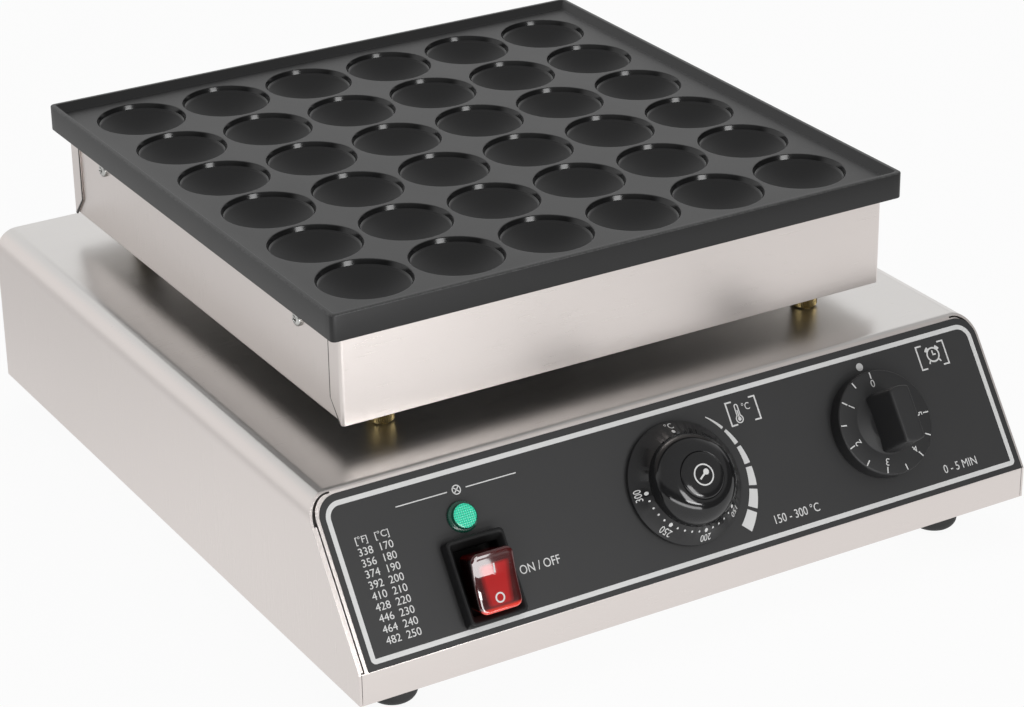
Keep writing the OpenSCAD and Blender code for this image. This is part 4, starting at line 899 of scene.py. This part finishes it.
class CAKE_OT_switch(bpy.types.Operator):
    """Makes the rocker switch: its raised frame and the red rocker with its marks"""

    bl_idname = "cake.switch"
    bl_label = "Rocker switch"

    def execute(self, context):
        sizes = context.scene.cake_panel
        at = ROCKER_AT - sizes.pivot_height * OUT
        self.make_frame(sizes, at)
        self.make_rocker(sizes)
        self.make_marks(sizes)
        return {"FINISHED"}

    def make_frame(self, sizes, at):
        """Rings from the well's floor, up its walls, over the frame's rounded top and down to the panel,
        then in to the body behind it, in millimetres. The frame's ends are wider than its sides."""
        well_x, well_y, well_floor = 11.5, 15.7, -4.4
        width, top, end_ratio = 3.8, 7.5, 1.29
        wall, body_back = 1.2, -25.2
        film = sizes.film / MM
        reach = eased([[0.0, well_floor], [0.0, top - 3.5], [2.3, top], [width, top], [width, film]],
                      [1.4, 1.4, 1.2])
        half_x = np.concatenate([well_x + reach[:, 0], [well_x + wall, well_x + wall]]) * MM
        half_y = np.concatenate([well_y + reach[:, 0] * end_ratio, [well_y + wall, well_y + wall]]) * MM
        height = np.concatenate([reach[:, 1], [film, body_back]]) * MM
        bend = np.concatenate([0.8 + reach[:, 0] * 0.4, [0.4, 0.4]]) * MM
        rings = rounded_rings(half_x, half_y, bend, height, np.linspace(-1, 1, 5), 4)
        points, faces = loft(rings[::-1])
        # Painted shade: inside is one down in the well and fades over the frame's top; the finish darkens by
        # it
        from_well = np.abs(points[:, :2]) / MM - [well_x, well_y]
        outward = np.max(from_well / [1.0, end_ratio], axis=1)
        inside = 1.0 - np.clip(outward / 3.2, 0.0, 1.0)
        make_piece("switch_frame", (on_panel(points, at), faces), "switch_plastic", "machine",
                   ("switch_housing",), sharp=34.0, values={"inside": inside})

    def face(self, sizes, along):
        """Height of the rocker's hollowed face: a circular arc through both ends and the hollow."""
        half = sizes.rocker_length / 2
        radius = (half ** 2 + sizes.rocker_hollow ** 2) / (2 * sizes.rocker_hollow)
        middle = sizes.rocker_end - sizes.rocker_hollow
        return middle + radius - np.sqrt(radius ** 2 - np.minimum(np.abs(along), half) ** 2)

    def tilted(self, sizes, points):
        """Rocker points leaned back about the pivot and laid on the panel."""
        cos, sin = math.cos(sizes.rocker_lean), math.sin(sizes.rocker_lean)
        y = points[:, 1] * cos - points[:, 2] * sin
        z = points[:, 1] * sin + points[:, 2] * cos
        return on_panel(np.stack([points[:, 0], y, z], axis=-1), ROCKER_AT)

    def make_rocker(self, sizes):
        """Rings round the rocker: from its foot up its sides, over a rounded edge and across the hollow
        face."""
        half_x, half_y = sizes.rocker_width / 2, sizes.rocker_length / 2
        edge, corner, foot = 1.3 * MM, 4.0 * MM, -2.0 * MM
        t = np.linspace(0.0, np.pi / 2, 6)
        inset = np.concatenate([[1.6 * MM, 0.7 * MM], edge * (1 - np.cos(t)),
                                np.linspace(edge, half_x, 9)[1:]])
        drop = np.concatenate([[0.0, 6.0 * MM], edge * (1 - np.sin(t)), np.zeros(8)])
        bend = np.clip(corner - inset, 0.0, None)
        rings = rounded_rings(half_x - inset, half_y - inset, bend, -drop, np.linspace(-1, 1, 21), 5)
        rings[..., 2] += self.face(sizes, rings[..., 1])
        rings[0, :, 2] = foot
        points, faces = loft(rings, end=False)
        make_piece("red_rocker", (self.tilted(sizes, points), faces), "rocker_plastic", "power_rocker",
                   ("switch_rocker",), sharp=40.0, flat=points[:, :2])

    def make_marks(self, sizes):
        """A bar and a ring for on and off, laid on the rocker's face."""
        bar = np.linspace([0.0, 3.7], [0.0, 8.3], 6)
        ring = arc((0.0, -8.0), 2.1, 0.0, 345.0, 24)
        points, faces = printed([ribbon(bar, 0.75), ribbon(ring, 0.75, True)], 0.0, sizes.ink)
        points[:, 2] += self.face(sizes, points[:, 1])
        make_piece("rocker_marks", (self.tilted(sizes, points), faces), "light_ink", "power_rocker")


class CAKE_OT_lamp(bpy.types.Operator):
    """Makes the green lamp"""

    bl_idname = "cake.lamp"
    bl_label = "Indicator lamp"

    def execute(self, context):
        sizes = context.scene.cake_panel
        front_radius, front_height, middle_radius = 5.8, 4.6, 0.3
        rim = eased([[7.45, 0.4], [7.45, 2.0], [6.6, 2.5], [6.15, 2.5], [5.95, 4.5], [4.6, front_height],
                     [middle_radius, front_height]], [0.4, 0.15, 0.12, 0.35, 1.0], 4)
        face = np.stack([np.linspace(4.2, middle_radius, 7), np.full(7, front_height)], axis=-1)
        points, faces = loft(revolve(np.concatenate([rim[:-1], face]) * MM, 64))
        at = panel_foot() + sizes.lamp_height * UP
        at[0] = ROCKER_AT[0]
        front = np.where(np.linalg.norm(points[:, :2], axis=1) < front_radius * MM, 1.0, 0.0)
        make_piece("green_lamp", (on_panel(points, at), faces), "lamp_plastic", "machine",
                   ("lamp_lens",), sharp=34.0, values={"front": front}, flat=points[:, :2])
        return {"FINISHED"}


class CAKE_OT_thermostat(bpy.types.Operator):
    """Makes the thermostat knob, its cap and the scale on its skirt"""

    bl_idname = "cake.thermostat"
    bl_label = "Thermostat knob"

    # Radii and heights on the knob in millimetres: where the skirt meets the crown, its foot, the dome
    crown_radius = 22.9
    skirt_radii = (22.75, 30.45)
    skirt_heights = (8.4, 1.6)
    cap_seat = 18.0
    dome_radius = 9.3
    dome_top = 21.2
    dome_fall = 0.5

    def execute(self, context):
        sizes = context.scene.cake_panel
        self.make_knob(sizes)
        self.make_cap(sizes)
        self.make_scale(sizes)
        self.make_mark(sizes)
        return {"FINISHED"}

    def make_knob(self, sizes):
        """A profile turned about the axis: bore, hollow underside, skirt, round crown and the cap's seat."""
        rim_radius, rim_height = self.skirt_radii[1], self.skirt_heights[1]
        inside = [[0.4, 12.7], [3.04, 12.7], [3.04, 0.2], [5.5, 0.2], [5.5, 0.0], [7.4, 0.0], [7.4, 15.6],
                  [16.4, 15.6], [19.9, 9.6], [20.1, 6.0], [28.0, 0.05], [29.8, 0.0]]
        skirt = eased([[29.9, 0.0], [rim_radius, 0.0], [rim_radius, rim_height], [self.crown_radius, 8.25]],
                      [0.35, 0.5], 8)
        crown = arc((11.5, 8.4), 11.2, 4.0, 80.0, 28)
        seat = eased([[12.9, 19.5], [11.54, 19.6], [11.54, self.cap_seat], [0.4, self.cap_seat]],
                     [0.4, 0.1], 8)
        points, faces = knob_surface(sizes, np.concatenate([np.array(inside), skirt, crown, seat]), 128)
        satin = np.where(np.linalg.norm(points[:, :2], axis=1) > self.crown_radius * MM, 1.0, 0.0)
        make_piece("thermostat_knob_skin", (on_panel(points, THERMOSTAT_AT), faces), "knob_plastic",
                   "thermostat_dial", ("thermostat_knob",), sharp=40.0,
                   values={"satin": satin})

    def dome(self, radius):
        """Height of the cap's face: its top less a fall that grows with the square of the radius."""
        return self.dome_top - self.dome_fall * (radius / self.dome_radius) ** 2

    def make_cap(self, sizes):
        """A profile turned about the axis: flat underside, upright rim and domed face."""
        radius = np.linspace(self.dome_radius, 0.4, 12)
        face = np.stack([radius, self.dome(radius)], axis=-1)
        under = self.cap_seat + 0.02
        rim = eased([[0.4, under], [11.5, under], [11.5, 20.2], face[0]], [0.1, 1.2], 8)
        points, faces = knob_surface(sizes, np.concatenate([rim[:-1], face]), 96)
        make_piece("thermostat_cap_skin", (on_panel(points, THERMOSTAT_AT), faces), "knob_plastic",
                   "thermostat_dial", ("thermostat_cap",), sharp=40.0)

    def make_scale(self, sizes):
        """A mark at the top, then over the second half turn dots every nine degrees clockwise, with larger
        ones and numbers every fifty units, all laid on the skirt's cone."""
        parts = []
        for step in (0, *range(15, 31)):
            turn = math.radians(90 - 9 * step)
            large = step % 5 == 0
            parts.append(disc(on_circle(24.7, turn), 0.85 if large else 0.45))
            if large:
                label = lettering("°C" if step == 0 else str(step * 10), 3.0, 0.98)
                parts.append(moved(label, on_circle(27.7, turn), turn - math.pi / 2))
        points, faces = printed(parts, -INK_SUNK, sizes.ink)
        radius = np.linalg.norm(points[:, :2], axis=1) / MM
        points[:, 2] += np.interp(radius, self.skirt_radii, self.skirt_heights) * MM + sizes.knob_floor
        make_piece("thermostat_scale", (on_panel(points, THERMOSTAT_AT), faces), "light_ink",
                   "thermostat_dial")

    def make_mark(self, sizes):
        """A plain ring round a dot and a bar, laid on the cap's dome."""
        ring = arc((0.0, 0.0), 5.0, 0.0, 352.5, 48)
        bar = np.linspace([-2.6, -1.7], [0.6, 0.5], 6)
        parts = [ribbon(ring, 0.7, True), ribbon(bar, 0.9), disc((1.6, 1.1), 1.5)]
        points, faces = printed(parts, -INK_SUNK, sizes.ink)
        radius = np.linalg.norm(points[:, :2], axis=1) / MM
        points[:, 2] += self.dome(radius) * MM + sizes.knob_floor
        make_piece("thermostat_cap_mark", (on_panel(points, THERMOSTAT_AT), faces), "light_ink",
                   "thermostat_dial")


class CAKE_OT_timer(bpy.types.Operator):
    """Makes the timer knob: dial, hub, grip and the scale on its face"""

    bl_idname = "cake.timer"
    bl_label = "Timer knob"

    # Height of the dial's face above the knob's underside, in millimetres
    face_height = 7.6

    def grip(self, sizes):
        """A bar with round ends: in plan the radius is the soft minimum of a circle and a strip; upwards it
        tapers, then rounds over to a flat top."""
        foot, top, soft = 8.6 * MM, 28.2 * MM, 1.1 * MM
        half_length, half_width, taper = 14.2 * MM, 5.7 * MM, 1.4 * MM
        power = 30.0
        t = np.linspace(0.0, np.pi / 2, 7)
        height = np.concatenate([np.linspace(foot, top - soft, 6)[:-1], top - soft + soft * np.sin(t)])
        inset = np.concatenate([np.zeros(5), soft * (1 - np.cos(t))])
        flare = taper * (1 - (height - foot) / (top - foot))
        far = (half_length + flare - inset)[:, None]
        near = (half_width + flare - inset)[:, None]
        turn = np.linspace(0.0, 2 * np.pi, 144, endpoint=False)
        radius = ((1 / far) ** power + (np.abs(np.cos(turn)) / near) ** power) ** (-1 / power)
        rings = np.stack([radius * np.cos(turn), radius * np.sin(turn),
                          np.broadcast_to(height[:, None], radius.shape)], axis=-1)
        shrink = np.linspace(0.85, 0.1, 5)[:, None, None]
        lid = rings[-1:] * np.concatenate([shrink, shrink, np.ones_like(shrink)], axis=-1)
        rings = np.concatenate([rings, lid])
        rings[..., 2] += sizes.knob_floor
        return loft(rings)

    def execute(self, context):
        sizes = context.scene.cake_panel
        face = self.face_height
        inside = [[0.4, 8.8], [3.04, 8.8], [3.04, 0.2], [5.5, 0.2], [5.5, 0.0], [7.4, 0.0], [7.4, 5.2],
                  [24.2, 5.2], [24.3, 0.0], [26.2, 0.0]]
        outside = eased([[26.3, 0.0], [26.7, 0.0], [26.6, face], [16.2, face], [9.5, 8.9], [0.4, 8.9]],
                        [0.3, 0.9, 4.0, 6.0], 7)
        dial = knob_surface(sizes, np.concatenate([np.array(inside), outside]), 128)
        points, faces = joined([dial, self.grip(sizes)])
        satin = np.full(len(points), 0.9)
        make_piece("timer_knob_skin", (on_panel(points, TIMER_AT), faces), "knob_plastic", "timer_dial",
                   ("timer_knob",), sharp=36.0, values={"satin": satin})
        self.make_scale(sizes)
        return {"FINISHED"}

    def make_scale(self, sizes):
        """Ticks every half unit and numbers at whole units, anticlockwise from the top."""
        tick = ribbon([[22.6, 0.0], [25.8, 0.0]], 0.62)
        parts = []
        for half_unit in range(11):
            turn = math.radians(90 + 26.8 * half_unit)
            parts.append(moved(tick, turn=turn))
            if half_unit % 2 == 0:
                label = lettering(str(half_unit // 2), 3.8, 1.0)
                parts.append(moved(label, on_circle(19.9, turn), turn - math.pi / 2))
        low = sizes.knob_floor + self.face_height * MM - INK_SUNK
        points, faces = printed(parts, low, low + sizes.ink)
        make_piece("timer_scale", (on_panel(points, TIMER_AT), faces), "light_ink", "timer_dial")


class CAKE_OT_print(bpy.types.Operator):
    """Prints the panel: border, scales, number table and plain signs"""

    bl_idname = "cake.panel_print"
    bl_label = "Panel print"

    def brackets(self, left, right, foot, top):
        """Two facing square brackets."""
        arm, width = 3.4, 0.8
        first = [[left + arm, foot], [left, foot], [left, top], [left + arm, top]]
        second = [[right - arm, top], [right, top], [right, foot], [right - arm, foot]]
        return [ribbon(first, width), ribbon(second, width)]

    def border(self, sizes):
        """A closed line with round upper corners and nearly square lower ones."""
        left, right, foot, top, corner, width = [size / MM for size in (
            sizes.border_left, sizes.border_right, sizes.border_foot, sizes.border_top,
            sizes.border_corner, sizes.border_width)]
        lower_corner = 1.3
        middle = (left + right) / 2
        path = eased([[middle, foot], [right, foot], [right, top], [left, top], [left, foot], [middle, foot]],
                     [lower_corner, corner, corner, lower_corner], 12)[:-1]
        return ribbon(path, width, True)

    def wedge(self, sizes):
        """Six blocks round the right of the thermostat, each wider than the one before."""
        parts = []
        ends = ((49.5, 33.5), (30.8, 17.6), (14.9, 0.9), (-1.8, -15.6), (-18.3, -31.9), (-34.6, -48.5))
        first, last = ends[0][0], ends[-1][1]
        inner, thin, gain = 36.2, 0.5, 5.6
        for start, end in ends:
            angle = np.linspace(start, end, 10)
            width = thin + gain * (first - angle) / (first - last)
            spoke = np.stack([np.cos(np.radians(angle)), np.sin(np.radians(angle))], axis=-1)
            path = spoke * (inner + width / 2)[:, None]
            parts.append(moved(ribbon(path, width), (-1.0, sizes.knob_height / MM)))
        return parts

    def thermometer(self, x, y):
        """A bulb with a stem beside the sign for degrees."""
        half, round_end = 0.9, 0.85
        bulb_at = (x, y - 2.9)
        stem = eased([[x - half, y - 1.2], [x - half, y + 4.4], [x + half, y + 4.4], [x + half, y - 1.2]],
                     [round_end, round_end], 5)
        bulb = arc(bulb_at, 1.9, 62.0, -242.0, 22)
        return [ribbon(np.concatenate([stem, bulb]), 0.55, True), disc(bulb_at, 0.95),
                ribbon([[x, y - 2.4], [x, y + 1.6]], 0.6), moved(lettering("°C", 3.6), (x + 5.3, y + 2.0))]

    def clock(self, x, y):
        """A round face with two hands, two bells and two feet."""
        parts = [ribbon(arc((x, y), 3.5, 0.0, 352.5, 48), 0.8, True),
                 ribbon([[x, y + 2.2], [x, y], [x + 1.7, y]], 0.7)]
        for side in (-1.0, 1.0):
            bell = arc((x, y), 4.5, 90.0 - side * 30.0, 90.0 - side * 62.0, 9)
            parts.append(ribbon(bell, 1.3))
            parts.append(ribbon([[x + side * 2.6, y - 2.7], [x + side * 3.6, y - 4.2]], 0.7))
        return parts

    def lamp_sign(self, x, y):
        """The plain sign for a lamp: a circle with a cross in it, between two short rules."""
        radius, line, rule_start, rule_end = 2.1, 0.5, 5.0, 32.0
        reach = radius / math.sqrt(2)
        return [ribbon(arc((x, y), radius, 0.0, 345.0, 24), line, True),
                ribbon([[x - reach, y - reach], [x + reach, y + reach]], line),
                ribbon([[x - reach, y + reach], [x + reach, y - reach]], line),
                ribbon([[x - rule_end, y], [x - rule_start, y]], line),
                ribbon([[x + rule_start, y], [x + rule_end, y]], line)]

    def table(self):
        """Degrees in two units, ten by ten."""
        parts = [moved(lettering("[°F]", 3.2, 1.0), (-169.4, 58.5)),
                 moved(lettering("[°C]", 3.2, 1.0), (-158.8, 58.5))]
        first_row, row_pitch, digits = 52.9, 5.22, 3.75
        for row in range(9):
            height = first_row - row_pitch * row
            celsius = 170 + 10 * row
            fahrenheit = celsius * 9 // 5 + 32
            parts.append(moved(lettering(str(fahrenheit), digits, 1.0), (-169.0, height)))
            parts.append(moved(lettering(str(celsius), digits, 1.0), (-158.5, height)))
        return parts

    def execute(self, context):
        sizes = context.scene.cake_panel
        timer_mark = disc((116.0, 71.6), 2.0)
        parts = [self.border(sizes), timer_mark]
        parts += self.wedge(sizes)
        parts += self.brackets(35.5, 52.4, 61.0, 72.5)
        parts += self.thermometer(40.8, 66.4)
        parts += self.brackets(151.3, 168.0, 61.3, 73.2)
        parts += self.clock(160.2, 67.5)
        parts += self.lamp_sign(-116.1, 68.5)
        parts += self.table()
        words = (("ON / OFF", -87.0, 24.0), ("150 - 300 °C", 54.2, 11.4), ("0 - 5 MIN", 154.2, 10.5))
        for word, x, y in words:
            parts.append(moved(lettering(word, 4.4), (x, y)))
        points, faces = printed(parts, sizes.film - INK_SUNK, sizes.film + sizes.ink)
        make_piece("panel_print", (on_panel(points, panel_foot()), faces), "light_ink", "machine")
        return {"FINISHED"}


class CAKE_OT_stage(bpy.types.Operator):
    """Sets up the camera, the white floor and the soft studio light"""

    bl_idname = "cake.stage"
    bl_label = "Studio"

    def axes_at(self, right, up, back, place):
        """The matrix of an object at a place, with its axes along three directions."""
        matrix = np.eye(4)
        matrix[:3] = np.stack([right, up, back, place], axis=1)
        return Matrix(matrix.tolist())

    def camera(self, context, sizes):
        """The view of the plate from a turn, a height and a distance, with a small roll and shift."""
        a, e, r = sizes.azimuth, sizes.elevation, sizes.roll
        back = np.array([math.sin(a) * math.cos(e), -math.cos(a) * math.cos(e), math.sin(e)])
        right = np.array([math.cos(a), math.sin(a), 0.0])
        up = np.cross(back, right)
        across = right * math.cos(r) + up * math.sin(r)
        over = up * math.cos(r) - right * math.sin(r)
        top = PLATE_HIGH.z - context.scene.cake_plate.lip_height
        aim = np.array([PLATE_MIDDLE.x, PLATE_MIDDLE.y, top])
        eye = aim + back * sizes.distance + across * sizes.aside + over * sizes.rise
        data = bpy.data.cameras.new("Camera")
        data.lens = sizes.lens
        data.sensor_width = 36.0
        data.sensor_fit = "HORIZONTAL"
        data.clip_start = 0.05
        data.clip_end = 60.0
        camera = bpy.data.objects.new("Camera", data)
        context.scene.collection.objects.link(camera)
        camera.matrix_world = self.axes_at(across, over, back, eye)
        context.scene.camera = camera

    def rays(self, tree):
        """Two masks: rays straight from the camera, and rays that come by a reflection or clear plastic."""
        camera, glossy, clear = [add_node(tree, "ShaderNodeLightPath", {}, {}, key) for key in (
            "Is Camera Ray", "Is Glossy Ray", "Is Transmission Ray")]
        return camera, glossy.maths("MAXIMUM", glossy, clear)

    def world(self, context):
        """A white surround; reflections find a backdrop that is dimmer overhead and a dark room in front,
        and as light it is even."""
        world = bpy.data.worlds.new("White surround")
        world.use_nodes = True
        tree = world.node_tree
        background = tree.nodes["Background"]
        background.inputs["Color"].default_value = (1.0, 1.0, 1.0, 1.0)
        depth, height = add_node(tree, "ShaderNodeTexCoord", {}, {}, "Generated").axes()[1:]
        room = 0.08 + height.between(0.3, 0.45) * 0.45
        backdrop = 1.0 - height.between(0.5, 0.8) * 0.5
        reflected = room + depth.between(-0.15, 0.35) * (backdrop - room)
        camera, mirror = self.rays(tree)
        light = 0.5
        strength = camera + mirror * reflected + (1.0 - camera - mirror) * light
        plug(tree, background.inputs["Strength"], strength)
        context.scene.world = world

    def floor(self, context, sizes):
        """A white floor that shows as white and keeps part of the object's shadow; in reflections it carries
        a painted shadow behind on the left and is dark far in front."""
        half, level = sizes.floor, -0.3 * MM
        mesh = bpy.data.meshes.new("floor")
        mesh.from_pydata([(-half, -half, level), (half, -half, level), (half, half, level),
                          (-half, half, level)], [], [(0, 1, 2, 3)])
        finish = Finish("white_floor", {"Roughness": 0.9, "Specular IOR Level": 0.1})
        clouds = finish.noise(0.6, 2.0)
        pale = finish.mix(clouds, (0.90, 0.90, 0.90), (0.93, 0.93, 0.93))
        tree = finish.tree
        glow = finish.node("ShaderNodeEmission", {}, {"Color": (1.0, 1.0, 1.0, 1.0), "Strength": 1.0})
        lit = Shade(tree, finish.shader.outputs[0])
        aside, depth = finish.place().axes()[:2]
        # Painted shadow: in reflections the floor behind on the left is dimmed
        painted_floor_shadow = depth.between(-0.05, 0.4) * (1.0 - aside.between(-0.32, -0.05))
        near = depth.between(-0.85, -0.6)
        camera, mirror = self.rays(tree)
        finish.set({"Base Color": finish.mix(mirror * (1.0 - near), pale, (0.1, 0.1, 0.1))})
        shown, reflected = 0.93, 0.92
        share = camera * shown + mirror * near * (reflected - painted_floor_shadow * 0.5)
        both = finish.node("ShaderNodeMixShader", {}, {0: share, 1: lit, 2: glow})
        plug(tree, tree.nodes["Material Output"].inputs["Surface"], both)
        mesh.materials.append(finish.material)
        floor = bpy.data.objects.new("floor", mesh)
        context.scene.collection.objects.link(floor)

    def softbox(self, context, name, place, aim, size, power):
        """A rectangular lamp that faces a point."""
        data = bpy.data.lights.new(name, "AREA")
        data.shape = "RECTANGLE"
        data.size, data.size_y = size
        data.energy = power
        lamp = bpy.data.objects.new(name, data)
        context.scene.collection.objects.link(lamp)
        back = np.asarray(place) - np.asarray(aim)
        back /= np.linalg.norm(back)
        right = np.cross([0.0, 0.0, 1.0], back)
        right /= np.linalg.norm(right)
        lamp.matrix_world = self.axes_at(right, np.cross(back, right), back, place)
        return lamp

    def execute(self, context):
        sizes = context.scene.cake_stage
        self.camera(context, sizes)
        self.world(context)
        self.floor(context, sizes)
        self.softbox(context, "Softbox front", (0.28, -1.95, 0.52), (-0.05, -0.15, 0.15), (0.7, 0.16), 5.0)
        self.softbox(context, "Softbox low", (-0.3, -0.72, 0.052), (-0.3, 0.0, 0.052), (0.86, 0.09), 1.7)
        glint = self.softbox(context, "Softbox glint", (0.24, -1.95, 0.83), (-0.03, 0.05, 0.17),
                             (0.6, 0.56), 9.0)
        glint.visible_diffuse = False
        top = self.softbox(context, "Softbox top", (0.2, 0.3, 2.2), (0.0, 0.0, 0.1), (1.8, 1.8), 8.0)
        top.visible_glossy = False
        context.scene.view_settings.view_transform = "Standard"
        return {"FINISHED"}


class CAKE_PT_panel(bpy.types.Panel):
    """Lists the sizes, the colours and the pieces of the grill"""

    bl_idname = "CAKE_PT_panel"
    bl_label = "Cake grill"
    bl_space_type = "VIEW_3D"
    bl_region_type = "UI"
    bl_category = "Cake grill"

    def draw(self, context):
        for key, group in GROUPS.items():
            box = self.layout.box()
            for entry in group.__annotations__:
                box.prop(getattr(context.scene, key), entry)
        for operator in OPERATORS:
            self.layout.operator(operator.bl_idname)


OPERATORS = (CAKE_OT_finishes, CAKE_OT_stage, CAKE_OT_plate, CAKE_OT_sheets, CAKE_OT_screws, CAKE_OT_switch,
             CAKE_OT_lamp, CAKE_OT_thermostat, CAKE_OT_timer, CAKE_OT_print)
GROUPS = {"cake_plate": PlateSizes, "cake_panel": PanelSizes, "cake_colours": Colours,
          "cake_stage": StageSizes}


def register():
    """Adds the classes and the scene's property groups."""
    for part in (*GROUPS.values(), *OPERATORS, CAKE_PT_panel):
        bpy.utils.register_class(part)
    for key, group in GROUPS.items():
        setattr(bpy.types.Scene, key, PointerProperty(type=group))


def unregister():
    """Takes the property groups and classes away again."""
    for key in GROUPS:
        delattr(bpy.types.Scene, key)
    for part in (CAKE_PT_panel, *reversed(OPERATORS), *GROUPS.values()):
        bpy.utils.unregister_class(part)


def main():
    """Makes every piece in order."""
    register()
    bpy.ops.cake.finishes()
    bpy.ops.cake.stage()
    bpy.ops.cake.plate()
    bpy.ops.cake.sheets()
    bpy.ops.cake.screws()
    bpy.ops.cake.switch()
    bpy.ops.cake.lamp()
    bpy.ops.cake.thermostat()
    bpy.ops.cake.timer()
    bpy.ops.cake.panel_print()


if __name__ == "__main__":
    main()
